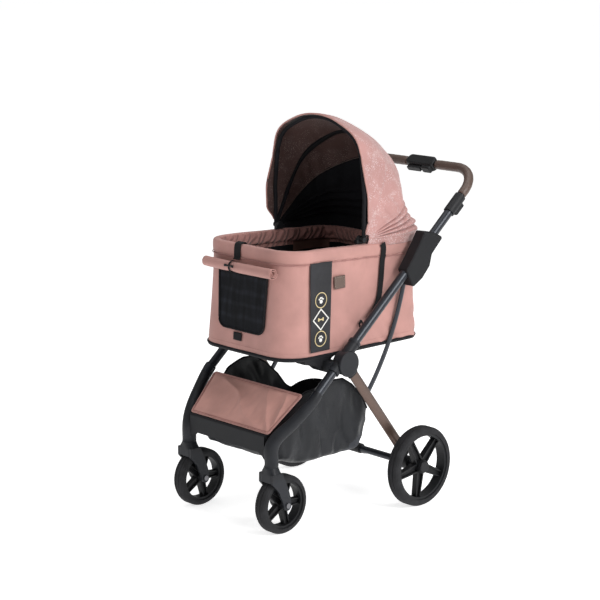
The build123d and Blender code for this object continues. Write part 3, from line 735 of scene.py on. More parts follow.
def liner_pick(i, j):
    """Black low down, a gathered rose band under the rim, and a pleated panel low on each side in rose
    darkened as painted shade.
    """
    x, y, z = inner_rows[i][j]
    if abs(x) > 150 and 140 < y < 292 and z > 744:
        return 2
    return 1 if z > 766 + rim_shift(y) else 0


liner = cloth_grid("carrier_liner", inner_rows, [black_cloth, rose_quilt, rose_painted_shade],
                   close=True, pick=liner_pick)
thicken(liner, 2.0)
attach(liner, "carrier")

# piped black band round the foot of the walls
foot = [(x, y, TRAY_TOP - 3.5) for x, y in wall_ring(TRAY_TOP, -0.6)]
foot_band = tube_along("carrier_foot_band", foot, 3.6, [black_cloth], sides=12, closed=True,
                       flat=1.1)
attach(foot_band, "carrier")
seam_high = [(x, y, TRAY_TOP + 14.0) for x, y in wall_ring(TRAY_TOP + 14, -2.2)]
foot_seam = dashes_along("carrier_foot_stitches", seam_high + seam_high[:1], 3.2, 1.6, 0.45, rose_dark)
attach(foot_seam, "carrier")

# rim: padded roll over the top rail, puckered near the hood hinges and quilted on its inner side
RIM_SECTION = 20
ring_out = plan_ring(CARRIER_TOP_HALF_W + 2.5, CARRIER_FRONT + 14, CARRIER_REAR - 2.5, 90, 60)
ring_in = plan_ring(CARRIER_TOP_HALF_W - 21, CARRIER_FRONT + 38, CARRIER_REAR - 27, 64, 34)
rim_rows = []
for j, ((ox, oy), (ix, iy)) in enumerate(zip(ring_out, ring_in)):
    row = []
    near_hinge = math.exp(-((oy - 60.0) / 70.0) ** 2)
    for k in range(RIM_SECTION):
        turn = 2 * math.pi * k / RIM_SECTION
        c, s = math.cos(turn), math.sin(turn)
        across = 0.5 + 0.5 * math.copysign(abs(c) ** 0.62, c)
        height = math.copysign(abs(s) ** 0.55, s)
        quilt = 1.0 - across
        pucker = near_hinge * 2.2 * math.sin(oy * 0.36 + height * 2.6) * (0.4 + 0.6 * across)
        puff_in = quilt * 5.5 * abs(math.sin(j * 0.55 + 1.2 * wander(ox, oy, 0, 50.0, 2.0)))
        x, y = lerp(ix, ox, across), lerp(iy, oy, across)
        size = max(math.hypot(ox - ix, oy - iy), 1)
        nx, ny = (ox - ix) / size, (oy - iy) / size
        push = pucker * across - puff_in * quilt + 0.9 * wander(ox, oy, height * 20, 45.0, 4.0)
        tall = 21.0 + near_hinge * 0.6 * math.sin(oy * 0.28)
        z = (RIM_BOTTOM + RIM_TOP) / 2 + height * tall + rim_shift(oy)
        row.append((x + nx * push, y + ny * push, z))
    rim_rows.append(row)
rim_rows.append(rim_rows[0])
rim = cloth_grid("carrier_rim_pad", rim_rows, [rose, rose_quilt], close=True,
                 pick=lambda i, j: 1 if RIM_SECTION * 0.30 < j < RIM_SECTION * 0.72 else 0)
weld(rim)
subdivide(rim)
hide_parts("carrier_rim")
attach(rim, "carrier")
rim_cord = [(x, y, RIM_BOTTOM + 1.5 + rim_shift(y)) for x, y in plan_ring(
    CARRIER_TOP_HALF_W + 2.2, CARRIER_FRONT + 13.5, CARRIER_REAR - 2.0, 90, 60)]
rim_piping = tube_along("rim_seam_piping", rim_cord, 1.5, [rose_dark], sides=8, closed=True)
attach(rim_piping, "carrier")

# cushion on the tray
pad_z0, pad_z1 = TRAY_TOP + 7, TRAY_TOP + 27
cushion_rows = []
for z, inset in ((pad_z0, 40.0), (pad_z0, 18.0), (pad_z0 + 4, 14.0), (pad_z1 - 4, 14.0), (pad_z1, 18.0),
                 (pad_z1 + 1, 40.0)):
    half, front, rear = wall_sizes(z, inset)
    cushion_rows.append([(x, y, z) for x, y in plan_ring(half, front, rear, 90 - inset, 60 - min(inset, 50))])
cushion_points = [p for row in cushion_rows for p in row]
count = len(cushion_rows[0])
cushion_faces = [(i * count + j, i * count + (j + 1) % count, (i + 1) * count + (j + 1) % count,
                  (i + 1) * count + j) for i in range(5) for j in range(count)]
cushion_faces += [tuple(range(count))[::-1], tuple(range(5 * count, 6 * count))]
cushion = make_piece("carrier_floor_cushion", cushion_points, cushion_faces, [black_cloth])
puff(cushion, 7.0, 4.0, 5.0)
subdivide(cushion)
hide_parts("carrier_cushion")
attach(cushion, "carrier")

# ---------------------------------------------------------------- front window
WINDOW_TOP, WINDOW_LOW, WINDOW_CORNER = 754.0, 580.0, 26.0


def window_half(z):
    width = lerp(99.0, 107.0, (z - WINDOW_LOW) / (WINDOW_TOP - WINDOW_LOW))
    rise = WINDOW_CORNER - (z - WINDOW_LOW)
    if rise > 0:
        width -= WINDOW_CORNER - math.sqrt(max(WINDOW_CORNER ** 2 - rise ** 2, 0.0))
    return width


window_rows = []
for i in range(40):
    z = lerp(WINDOW_LOW + 0.3, WINDOW_TOP, i / 39)
    half = window_half(z)
    row = []
    for j in range(33):
        x = lerp(-half, half, j / 32)
        dent = 2.0 * wander(x, 0, z, 60.0, 8.0) * (1 - (x / half) ** 4)
        row.append((x, front_y(z, 3.0) + 0.25 * dent, z))
    window_rows.append(row)
window = cloth_grid("window_net", window_rows, [net])
thicken(window, 0.8)
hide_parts("window_mesh")
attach(window, "carrier")

binding_path = [(-window_half(z), front_y(z, 3.6), z)
                for z in [lerp(WINDOW_TOP, WINDOW_LOW + 0.5, k / 40) for k in range(41)]]
binding_path += [(lerp(-66, 66, k / 24), front_y(WINDOW_LOW, 3.6), WINDOW_LOW) for k in range(25)]
binding_path += [(window_half(z), front_y(z, 3.6), z)
                 for z in [lerp(WINDOW_LOW + 0.5, WINDOW_TOP, k / 40) for k in range(41)]]
binding = tube_along("window_binding", binding_path, 3.4, [webbing], sides=10, flat=0.8)
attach(binding, "carrier")

# rolled cover above the window, with its spiral ends; the webbing wrap pinches it at WRAP_X
roll_rows = []
ROLL_HALF, ROLL_Y, ROLL_Z = 151.0, -246.0, 773.0
WRAP_X = -27.0
for i in range(45):
    x = lerp(-ROLL_HALF, ROLL_HALF, i / 44)
    pinch = 1.0 - 0.16 * math.exp(-((x - WRAP_X) / 12.0) ** 2)
    sag = -1.5 * math.cos(math.pi * x / (2 * ROLL_HALF))
    row = []
    for j in range(61):
        turn = 2 * math.pi * 2.6 * j / 60
        radius = lerp(3.5, 16.2, j / 60) * pinch + 0.5 * wander(x, turn * 8, 0, 30.0, 6.0)
        edge = 0.8 * j / 60 * wander(0, turn * 9, 3, 20.0, 3.0)
        row.append((x + edge, ROLL_Y + radius * math.cos(turn + 2.4),
                    ROLL_Z + sag + radius * math.sin(turn + 2.4)))
    roll_rows.append(row)
roll = cloth_grid("window_cover_roll", roll_rows, [rose])
thicken(roll, 1.5, offset=1.0)
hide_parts("window_roll")
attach(roll, "carrier")


# ---------------------------------------------------------------- straps, band and badge
def ribbon(name, places, width_dir, width, materials, body, thickness=1.3):
    """Flat strap through places; width_dir gives the direction across it at each place."""
    rows = []
    for place, direction in zip(places, width_dir):
        across = Vector(direction).normalized()
        rows.append([tuple(Vector(place) + across * width * t) for t in (-0.5, -0.44, -0.2, 0.2, 0.44, 0.5)])
    piece = cloth_grid(name, rows, materials)
    thicken(piece, thickness, offset=0.0)
    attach(piece, body)
    return piece


def spaced_points(stops, count):
    """Points evenly spread by parameter on a smooth curve through stops."""
    result = []
    last = len(stops) - 1
    for k in range(count):
        t = last * k / (count - 1)
        i = min(int(t), last - 1)
        f = t - i
        p0 = Vector(stops[max(i - 1, 0)])
        p1, p2 = Vector(stops[i]), Vector(stops[i + 1])
        p3 = Vector(stops[min(i + 2, last)])
        point = 0.5 * ((2 * p1) + (p2 - p0) * f + (2 * p0 - 5 * p1 + 4 * p2 - p3) * f * f
                       + (3 * p1 - p0 - 3 * p2 + p3) * f ** 3)
        result.append(tuple(point))
    return result


# webbing hook strap down each side of the carrier
for side, sign in (("left", 1), ("right", -1)):
    stops = [(150.0, 822.0), (155.0, 806.0), (151.0, 770.0), (143.0, 710.0), (131.0, 655.0), (108.0, 618.0),
             (84.0, 592.0)]
    places, directions = [], []
    line = spaced_points([(0, y, z) for y, z in stops], 48)
    for index, (_, y, z) in enumerate(line):
        ahead = line[min(index + 1, len(line) - 1)]
        behind = line[max(index - 1, 0)]
        run = Vector((0, ahead[1] - behind[1], ahead[2] - behind[2])).normalized()
        clear = 5.0 + 3.5 * smooth((z - 770) / 20)
        if z > 785:
            x = CARRIER_TOP_HALF_W + 6.5
        else:
            x = side_x(y, z, clear)
        places.append((sign * x, y, z))
        directions.append((0, -run.z, run.y))
    strap = ribbon(f"side_strap_{side}", places, directions, 20.0, [webbing], "carrier")
    clip = tube_along(f"side_clip_{side}", spaced_points(
        [(sign * 213.0, 44.0, 590.0), (sign * 215.0, 50.0, 577.0), (sign * 213.5, 57.0, 590.0),
         (sign * 213.0, 50.5, 602.0)], 16), 3.0, [black_plastic], sides=8, closed=True)
    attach(clip, "carrier")

# pictogram band on the left wall
BAND_ROWS, BAND_COLS = 48, 14
BAND_LOW, BAND_HIGH = 533.0, 790.0


def band_edges(t):
    """Y of the band's front and rear edge, t from its foot to its top."""
    return lerp(-155.0, -146.0, t), lerp(-78.0, -59.0, t)


band_rows = []
for i in range(BAND_ROWS + 1):
    t = i / BAND_ROWS
    z = lerp(BAND_LOW, BAND_HIGH, t)
    y0, y1 = band_edges(t)
    row = []
    for j in range(BAND_COLS + 1):
        y = lerp(y0, y1, j / BAND_COLS)
        x = side_x(y, z, 4.6) + 0.4 * wander(0, y, z, 40.0, 2.0)
        row.append((x, y, z + rim_shift(y) * smooth((z - 700) / 90)))
    band_rows.append(row)
band = cloth_grid("side_band", flip(band_rows), [band_cloth])
thicken(band, 1.2, offset=0.0)
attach(band, "carrier")


def band_place(u, v):
    """Point just outside the band; u and v are millimetres from its middle line and its foot."""
    z = BAND_LOW + v
    y = lerp(*band_edges(v / (BAND_HIGH - BAND_LOW)), 0.5) + u
    return (side_x(y, z, 6.0), y, z)


def motif(name, outline, hole, material):
    """Flat woven motif on the band; outline and hole are closed lists of (u, v)."""
    points = [band_place(u, v) for u, v in outline + hole]
    count = len(outline)
    faces = [(k, (k + 1) % count, count + (k + 1) % count, count + k) for k in range(count)]
    piece = make_piece(name, points, faces, [material])
    thicken(piece, 0.5, offset=0.0)
    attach(piece, "carrier")
    return piece


def circle(u, v, radius, count=40):
    return [(u + radius * math.cos(2 * math.pi * k / count), v + radius * math.sin(2 * math.pi * k / count))
            for k in range(count)]


def diamond(u, v, radius, count=40):
    result = []
    for k in range(count):
        turn = 2 * math.pi * k / count
        reach = radius / (abs(math.cos(turn)) + abs(math.sin(turn)))
        result.append((u + reach * math.cos(turn), v + reach * math.sin(turn)))
    return result


def paw(name, u, v, size, material):
    """Generic paw: one pad and four toes."""
    spots = [(0.0, -0.30, 0.42), (-0.52, 0.20, 0.19), (-0.19, 0.48, 0.20), (0.19, 0.48, 0.20),
             (0.52, 0.20, 0.19)]
    for index, (du, dv, radius) in enumerate(spots):
        motif(f"{name}_{index}", circle(u + du * size, v + dv * size, radius * size, 20),
              circle(u + du * size, v + dv * size, 0.02, 20), material)


def bone(name, u, v, size, material):
    """Generic bone: a bar with two round knobs at each end."""
    bar = [(u + size * a, v + size * b) for a, b in
           ((-0.6, -0.13), (0.6, -0.13), (0.6, 0.13), (-0.6, 0.13))]
    middle = [(u + size * a, v) for a in (-0.3, 0.3, 0.3, -0.3)]
    motif(f"{name}_bar", bar, middle, material)
    for index, (a, b) in enumerate(((-0.62, 0.17), (-0.62, -0.17), (0.62, 0.17), (0.62, -0.17))):
        motif(f"{name}_knob_{index}", circle(u + a * size, v + b * size, size * 0.21, 16),
              circle(u + a * size, v + b * size, 0.02, 16), material)


motif("band_ring_low", circle(0, 38, 23.5), circle(0, 38, 21.0), label_gold)
motif("band_ring_high", circle(0, 152, 23.5), circle(0, 152, 21.0), label_gold)
motif("band_diamond", diamond(0, 95, 33.0), diamond(0, 95, 28.0), label_white)
paw("band_paw", 0, 152, 14.0, label_white)
bone("band_bone", 0, 95, 14.0, label_gold)
paw("band_paw_low", 0, 38, 14.0, label_white)

# leather badge beside the band, with a sewn border
BADGE_Y, BADGE_Z, BADGE_W, BADGE_H = -30.0, 728.0, 44.0, 38.0
badge_rows = []
for i in range(9):
    z = BADGE_Z + BADGE_H * (i / 8 - 0.5)
    badge_rows.append([(side_x(y, z, 5.2), y, z)
                       for y in [BADGE_Y + BADGE_W * (0.5 - j / 8) for j in range(9)]])
badge = cloth_grid("side_badge", badge_rows, [badge_leather])
thicken(badge, 1.6, offset=0.0)
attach(badge, "carrier")
SEAM_IN = 4
badge_x = side_x(BADGE_Y, BADGE_Z, 6.3)
frame_path = [(badge_x, BADGE_Y + a * (BADGE_W / 2 - SEAM_IN), BADGE_Z + b * (BADGE_H / 2 - SEAM_IN))
              for a, b in ((-1, -1), (1, -1), (1, 1), (-1, 1), (-1, -1))]
badge_seam = dashes_along("side_badge_stitches", frame_path, 3.0, 1.5, 0.35, thread)
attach(badge_seam, "carrier")

# touch tab under the window
tab_rows = [[(x, front_y(z, 4.2), z) for x in (-32, -29, -14, 1, 4)] for z in (548, 551, 560, 569, 572)]
tab = cloth_grid("window_touch_tab", tab_rows, [webbing])
thicken(tab, 1.6, offset=0.0)
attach(tab, "carrier")

# webbing wrap that joins the two halves of the front rim, with the toggle that holds the roll
wrap_profile = [(-201.5, 800.0), (-199.0, 818.0), (-200.5, 832.0), (-207.0, 839.5), (-216.0, 839.5),
                (-225.5, 834.0), (-228.6, 820.0), (-228.9, 806.0), (-229.5, 796.0), (-233.0, 790.0)]
wrap_line = spaced_points([(WRAP_X, y, z) for y, z in wrap_profile], 40)
wrap = ribbon("rim_wrap", wrap_line, [(1, 0, 0)] * len(wrap_line), 27.0, [webbing],
              "carrier", 2.0)
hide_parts("rim_buckle")
loop_line = [(WRAP_X, ROLL_Y + 17.2 * math.cos(turn), ROLL_Z - 1.5 + 17.2 * math.sin(turn))
             for turn in [lerp(math.radians(70), math.radians(400), k / 36) for k in range(37)]]
ribbon("roll_elastic", loop_line, [(1, 0, 0)] * len(loop_line), 6.0, [webbing],
       "carrier", 1.4)
toggle = tube_along("roll_toggle", [(WRAP_X - 18 + 36 * k / 12, -262.5, 775.0) for k in range(13)],
                    lambda k: 2.4 + 1.9 * abs(k / 6 - 1) ** 1.5, [black_plastic], sides=12)
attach(toggle, "carrier")

# ---------------------------------------------------------------- hood
# radius of the hood from its hinge line, at the middle and at three steps out to the sides
HOOD_TOP = [(0, 258.0), (8, 262.0), (16, 264.0), (28, 292.0), (40, 322.0), (52, 328.0), (64, 335.0),
            (75, 347.0), (84, 358.0), (92, 363.0)]
HOOD_SHOULDER = [(0, 256.0), (8, 256.0), (16, 250.0), (28, 276.0), (40, 298.0), (52, 307.0), (64, 315.0),
                 (78, 331.0), (92, 345.5)]
HOOD_SIDE = [(0, 240.0), (8, 232.0), (16, 208.0), (28, 212.0), (40, 226.0), (55, 239.0), (64, 249.0),
             (80, 274.0), (92, 289.5)]
HOOD_TURN = [(0, 196.0), (16, 156.0), (28, 146.0), (45, 142.0), (64, 138.0), (80, 148.0), (92, 158.0)]
HOOD_HALF = [(0, 200.0), (20, 199.5), (60, 200.0), (80, 203.5), (92, 204.5)]


def hood_arch(angle, count):
    """(x, radius) points of the hood's front view at an angle, from the left hinge to the right one."""
    half, turn = line_value(HOOD_HALF, angle), line_value(HOOD_TURN, angle)
    stops = [(half, 17.0, 0), (half, turn * 0.55, 0), (half, turn, 0),
             (half * 0.875, line_value(HOOD_SIDE, angle), 0),
             (half * 0.46, line_value(HOOD_SHOULDER, angle), 0), (0, line_value(HOOD_TOP, angle), 0)]
    mirrored = [(-x, r, 0) for x, r, _ in reversed(stops[:-1])]
    return [(x, r) for x, r, _ in spaced_points(stops + mirrored, count)]


def hood_point(x, radius, angle):
    turn = math.radians(angle)
    return (x, HOOD_Y + radius * math.cos(turn), HOOD_Z + radius * math.sin(turn))


def cloth_point(x, radius, angle):
    """Point on the cloth; the front edge hangs forward low on the right and is drawn back on the left."""
    ahead = smooth((angle - HOOD_MID_ANGLE) / (HOOD_EDGE_ANGLE - HOOD_MID_ANGLE))
    hang = ahead * smooth((radius - 14) / 45) * smooth((245 - radius) / 150)
    _, y, z = hood_point(x, radius, angle)
    return (x, y + hang * (13.0 if x > 0 else -27.0), z)


HOOD_COLUMNS = 129


def hood_rows(angle_from, angle_to, steps, inset):
    rows = []
    for i in range(steps + 1):
        angle = lerp(angle_from, angle_to, i / steps)
        row = []
        between = max(0.0, math.sin(math.pi * (angle - HOOD_MID_ANGLE) / (HOOD_FRONT_ANGLE - HOOD_MID_ANGLE)))
        for k, (x, radius) in enumerate(hood_arch(angle, HOOD_COLUMNS)):
            out = radius - inset
            # cloth drawn tight between hoops, and gathered folds that fan out of each hinge low at the rear
            out *= 1.0 - 0.012 * between * smooth((radius - 120) / 160)
            low = smooth((29 - angle) / 10) * smooth((radius - 26) / 60)
            crest = math.sin(math.radians(angle * 30.0 + 20.0) + 1.3 * wander(x, radius, 0, 110.0, 5.0))
            fold = 2.0 * abs(crest) ** 0.6 - 1.0
            side = smooth((abs(x) - 60) / 90)
            out += low * 6.0 * fold * (0.45 + 0.55 * side) - low * 3.0
            drape = smooth((radius - 60) / 120) * 4.2 * wander(x * 1.3, radius * 0.4, angle * 2.9, 52.0, 1.5)
            slack = smooth((angle - 20) / 12) * smooth((HOOD_MID_ANGLE - 2 - angle) / 10)
            along = k / HOOD_COLUMNS * 900.0
            drape += slack * 5.0 * (0.5 - abs(wander(along, angle * 1.1, 0, 46.0, 8.0)) * 2.0)
            out += drape * (0.35 + 0.65 * smooth((HOOD_MID_ANGLE - angle) / 20))
            bulge = 9.0 * low * fold + 0.9 * drape
            wide = x + math.copysign(1.0, x) * (side * bulge - inset * smooth(abs(x) / 150))
            row.append(cloth_point(wide, out, angle))
        rows.append(row)
    return rows


def spread_bend(piece, angle_from, angle_to):
    """Spreads a blended piece's bend evenly by angle about the hood's hinge line."""
    weights = piece.data.attributes["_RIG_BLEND"].data
    for vertex, weight in zip(piece.data.vertices, weights):
        y = vertex.co.y / MM + ORIGIN_Y - HOOD_Y
        z = vertex.co.z / MM - HOOD_Z
        angle = math.degrees(math.atan2(z, y))
        weight.value = min(1.0, max(0.0, (angle - angle_from) / (angle_to - angle_from)))


def hinge_chord(angle_from, angle_to, radius=250.0):
    start, end = hood_point(0, radius, angle_from), hood_point(0, radius, angle_to)
    return {"start": tuple(at(*start)), "end": tuple(at(*end))}


REAR_BEND = (6.0, HOOD_MID_ANGLE)
FRONT_BEND = (HOOD_MID_ANGLE, HOOD_FRONT_ANGLE)
LINING_CHANGE = 41.0
LINING_INSET = 3.2

REAR_STEPS, SKIRT_STEPS, FRONT_STEPS = 120, 6, 28


def skirt_rows(first_row):
    """Rows from the hood's lowest arch down into the top of the rim, lowest row first."""
    rows = []
    for k in range(SKIRT_STEPS, 0, -1):
        t = k / SKIRT_STEPS
        row = []
        for x, y, z in first_row:
            low = RIM_TOP - 7.0 + rim_shift(y)
            tuck = smooth((y - 250) / 60) * 9.0
            ripple = 0.8 * wander(x, y, 0, 30.0) * (1 - t)
            row.append((x * (1 - 0.045 * t), y - tuck * t, lerp(z, low, t) + ripple))
        rows.append(row)
    return rows


def rear_rows(inset):
    rows = hood_rows(0.5, HOOD_MID_ANGLE, REAR_STEPS, inset)
    return skirt_rows(rows[0]) + rows


def lining_pick(i, j):
    angle = lerp(0.5, HOOD_MID_ANGLE, (i - SKIRT_STEPS) / REAR_STEPS)
    return 1 if angle < LINING_CHANGE else 0


rear_cloth = cloth_grid("hood_rear_cloth", flip(rear_rows(0.0)), [hood_outer])
thicken(rear_cloth, 1.2)
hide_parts("hood_rear", "hood_middle")
front_rows = hood_rows(HOOD_MID_ANGLE, HOOD_EDGE_ANGLE, FRONT_STEPS, 0.0)
front_cloth = cloth_grid("hood_front_cloth", flip(front_rows), [hood_outer])
thicken(front_cloth, 1.2)
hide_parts("hood_front")
rear_lining = cloth_grid("hood_rear_lining", rear_rows(LINING_INSET), [hood_inner, black_cloth],
                         pick=lining_pick)
front_lining_rows = hood_rows(HOOD_MID_ANGLE, HOOD_EDGE_ANGLE - 0.5, FRONT_STEPS, LINING_INSET)
front_lining = cloth_grid("hood_front_lining", front_lining_rows, [hood_inner])


def arch_trim(name, angle, inset, radius, materials, place=hood_point):
    path = [place(x - math.copysign(inset * smooth(abs(x) / 150), x), r - inset, angle)
            for x, r in hood_arch(angle, 81)]
    return tube_along(name, path, radius, materials, sides=8)


front_piping = arch_trim("hood_front_piping", HOOD_EDGE_ANGLE, 0.8, 2.6, [rose], cloth_point)
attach(front_piping, "hood_visor")
front_binding = arch_trim("hood_front_binding", HOOD_FRONT_ANGLE + 0.9, 9.5, 6.0, [black_cloth])
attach(front_binding, "hood_visor")
rib_sleeve = arch_trim("hood_rib_sleeve", HOOD_MID_ANGLE + 0.8, 7.0, 4.6, [black_cloth])
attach(rib_sleeve, "hood_mid")
change_path = [hood_point(x - math.copysign(4.0 * smooth(abs(x) / 150), x), r - 4.2, LINING_CHANGE)
               for x, r in hood_arch(LINING_CHANGE, 81)]
change_piping = tube_along("hood_lining_piping", change_path, 1.6, [leather], sides=8)

for piece in (rear_cloth, rear_lining, change_piping):
    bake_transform(piece, "carrier", "hood_mid", **hinge_chord(*REAR_BEND))
    spread_bend(piece, *REAR_BEND)
for piece in (front_cloth, front_lining):
    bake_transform(piece, "hood_mid", "hood_visor", **hinge_chord(*FRONT_BEND))
    spread_bend(piece, *FRONT_BEND)

# ---------------------------------------------------------------- basket
BASKET_FRONT = [(174.0, -112.0), (184.0, -165.0), (196.0, -205.0), (215.0, -248.0), (230.0, -259.0),
                (312.0, -262.0), (412.0, -150.0), (438.0, -60.0)]
BASKET_REAR = [(172.0, 50.0), (184.0, 90.0), (198.0, 111.0), (235.0, 122.0), (270.0, 125.0), (300.0, 121.0),
               (360.0, 112.0)]
BASKET_TOP = [(-262.0, 308.0), (-150.0, 408.0), (-60.0, 432.0), (-12.0, 430.0), (30.0, 404.0), (79.0, 358.0),
              (104.0, 322.0), (124.0, 297.0)]
BASKET_STEPS = 48
REAR_ARCH_RISE = 52.0


def basket_half(z):
    return lerp(157.0, 199.0, min(1.0, (z - 165.0) / 250.0))


def basket_slack(x, y, level):
    """Slack upright folds in the bag."""
    folds = 15.0 * wander(x * 1.1, y * 1.3, level * 0.35, 58.0, 4.4)
    ridges = 8.0 * (0.5 - 2.6 * abs(wander(x, y * 1.2 + level * 0.35, level * 0.3, 40.0, 6.1)))
    return folds + ridges


template = plan_ring(1.0, -1.0, 1.0, 0.30, 0.10)
basket_rows = []
for i in range(BASKET_STEPS + 1):
    v = i / BASKET_STEPS
    row = []
    for tx, ty in template:
        level = 174.0 + v * 200.0
        for _ in range(6):
            y = lerp(line_value(BASKET_FRONT, level), line_value(BASKET_REAR, level), (ty + 1) / 2)
            top = line_value(BASKET_TOP, y) + REAR_ARCH_RISE * (1 - tx * tx) * smooth((ty - 0.6) / 0.4)
            level = 174.0 + v * (top - 174.0)
        shrink = 26.0 * ((196 - level) / 22) ** 2 if level < 196 else 0.0
        x = tx * (basket_half(level) - shrink)
        belly = 4.0 * math.sin(math.pi * min(1, v * 1.05))
        slack = basket_slack(x, y, level) * (1 - v ** 6) * smooth(v / 0.12 + 0.25)
        push = (slack + belly) * (0.55 + 0.45 * abs(tx))
        nx, ny = (tx, 0.0) if abs(tx) > abs(ty) * 0.98 else (0.0, ty)
        ripple = 3.0 * (1 - v) * wander(x, y, 1, 50.0)
        row.append((x + nx * push * 0.8, min(y + ny * push * 0.6, 130.0), level + ripple))
    basket_rows.append(row)
floor_rows = []
for t in (0.05, 0.25, 0.45, 0.65, 0.85):
    floor_rows.append([(x * t, lerp(-26.0, y, t), z + 4.0 * (1 - t) + 2.5 * wander(x * t, y * t, 0, 60.0))
                       for x, y, z in basket_rows[0]])
all_rows = floor_rows + basket_rows


def basket_pick(i, j):
    a = all_rows[i][j]
    return 1 if a[1] > 25 and abs(a[0]) > 100 and a[2] < 178 + (a[1] - 25) * 0.78 and a[2] > 178 else 0


basket = cloth_grid("basket_bag", all_rows, [basket_cloth, gusset_cloth], close=True,
                    pick=basket_pick)
thicken(basket, 2.0, offset=1.0)
subdivide(basket)
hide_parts("basket")
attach(basket, "frame")
hem = tube_along("basket_hem", [(x * 0.998, y, z) for x, y, z in basket_rows[-1]], 3.0, [black_cloth],
                 sides=10, closed=True)
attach(hem, "frame")

# padded front panel of the basket, with piping
PANEL_TILT = math.radians(41)
PANEL_MIDDLE = (-231.0, 353.0)


def panel_place(x, along, out):
    y = PANEL_MIDDLE[0] + along * math.cos(PANEL_TILT) - out * math.sin(PANEL_TILT)
    z = PANEL_MIDDLE[1] + along * math.sin(PANEL_TILT) + out * math.cos(PANEL_TILT)
    return (x, y, z)


def panel_half(along):
    return lerp(176.0, 197.0, (along + 76.0) / 154.0)


def panel_outline(inset, count=8, radius=9.0):
    """Closed (x, along) outline of the panel with round corners."""
    low, high = -76.0 + inset, 78.0 - inset
    corners = [(1, low), (1, high), (-1, high), (-1, low)]
    result = []
    r = max(radius - inset, 4.0)
    for index, (sign, edge) in enumerate(corners):
        cx = sign * (panel_half(edge) - inset - r)
        ca = edge + r if edge < 0 else edge - r
        start = [-90, 0, 90, 180][index]
        for k in range(count + 1):
            turn = math.radians(start + 90 * k / count)
            result.append((cx + r * math.cos(turn), ca + r * math.sin(turn)))
    dense = []
    for a, b in zip(result, result[1:] + result[:1]):
        steps = max(1, int(math.dist(a, b) / 9))
        dense += [(lerp(a[0], b[0], k / steps), lerp(a[1], b[1], k / steps)) for k in range(steps)]
    return dense


def panel_crease(x, along):
    """Soft creases that fan from the lower corners and hang from the top edge."""
    edge = min(panel_half(along) - abs(x), along + 76.0, 78.0 - along)
    inside = smooth(edge / 26.0)
    corner = math.atan2(along + 96.0, 196.0 - x)
    fan = 3.6 * (1.0 - 2.0 * abs(math.sin(corner * 7.5 + 1.1 * wander(x, along, 0, 120.0, 3.0))) ** 0.7)
    tug = 1.5 * wander(x * 1.6, along * 0.5, 0, 26.0, 9.0)
    return inside * (fan + tug)


panel_points, panel_faces = [], []
COLUMNS, ROWS = 84, 36
for skin, base in ((1, 5.0), (-1, -1.0)):
    for i in range(ROWS + 1):
        along = lerp(-74.0, 76.0, i / ROWS)
        half = panel_half(along) - 2.0
        lower, upper = along + 76.0, 78.0 - along
        edge_r = 9.0
        reach = min(lower, upper)
        if reach < edge_r:
            half -= edge_r - math.sqrt(max(edge_r ** 2 - (edge_r - reach) ** 2, 0.0))
        for j in range(COLUMNS + 1):
            x = lerp(-half, half, j / COLUMNS)
            edge = min(half - abs(x), lower, upper)
            dome = smooth(edge / 16.0)
            out = 3.0 + skin * (1.2 + 3.0 * dome) + (panel_crease(x, along) if skin > 0 else 0.0)
            panel_points.append(panel_place(x, along, out))
stride = COLUMNS + 1
sheet_size = stride * (ROWS + 1)
for i in range(ROWS):
    for j in range(COLUMNS):
        a = i * stride + j
        panel_faces.append((a, a + 1, a + stride + 1, a + stride))
        b = a + sheet_size
        panel_faces.append((b, b + stride, b + stride + 1, b + 1))
for j in range(COLUMNS):
    panel_faces.append((j + 1, j, sheet_size + j, sheet_size + j + 1))
    a = ROWS * stride + j
    panel_faces.append((a, a + 1, sheet_size + a + 1, sheet_size + a))
for i in range(ROWS):
    a = i * stride
    panel_faces.append((a, a + stride, sheet_size + a + stride, sheet_size + a))
    a = i * stride + COLUMNS
    panel_faces.append((a + stride, a, sheet_size + a, sheet_size + a + stride))
panel = make_piece("basket_front_pad", panel_points, panel_faces, [pad_rose])
subdivide(panel)
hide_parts("basket_panel")
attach(panel, "frame")
piping_path = [panel_place(x, along, 3.6) for x, along in panel_outline(0.5)]
panel_piping = tube_along("basket_front_piping", piping_path, 2.4, [rose], closed=True)
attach(panel_piping, "frame")
seam_path = [panel_place(x, along, 5.6) for x, along in panel_outline(6.0)]
panel_seam = tube_along("basket_front_seam", seam_path, 0.9, [rose_dark], sides=8, closed=True)
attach(panel_seam, "frame")


# ---------------------------------------------------------------- handlebar grips
def bow_place(x, along, above=0.0):
    y = BEAM_Y + along * math.cos(BEAM_ANGLE) - above * math.sin(BEAM_ANGLE)
    z = BEAM_Z + along * math.sin(BEAM_ANGLE) + above * math.cos(BEAM_ANGLE)
    return (x, y, z)


def grip_line(side, above=0.0):
    """Centre line of one grip, from the leg round the bend to the centre housing."""
    corner = HANDLE_TOP - HANDLE_BEND_R
    inner = BEAM_X - HANDLE_BEND_R
    line = [bow_place(side * BEAM_X, lerp(GRIP_START, corner, k / 4), above) for k in range(4)]
    for k in range(25):
        turn = math.pi / 2 * k / 24
        line.append(bow_place(side * (inner + HANDLE_BEND_R * math.cos(turn)),
                              corner + HANDLE_BEND_R * math.sin(turn), above))
    line += [bow_place(side * lerp(inner, CENTRE_HALF + 1, k / 14), HANDLE_TOP, above) for k in range(1, 15)]
    return line


def grip_radius(k):
    end = min(k, 42 - k)
    return GRIP_R * (0.90 + 0.10 * smooth(end / 1.5)) + 0.25 * math.sin(k * 1.7)


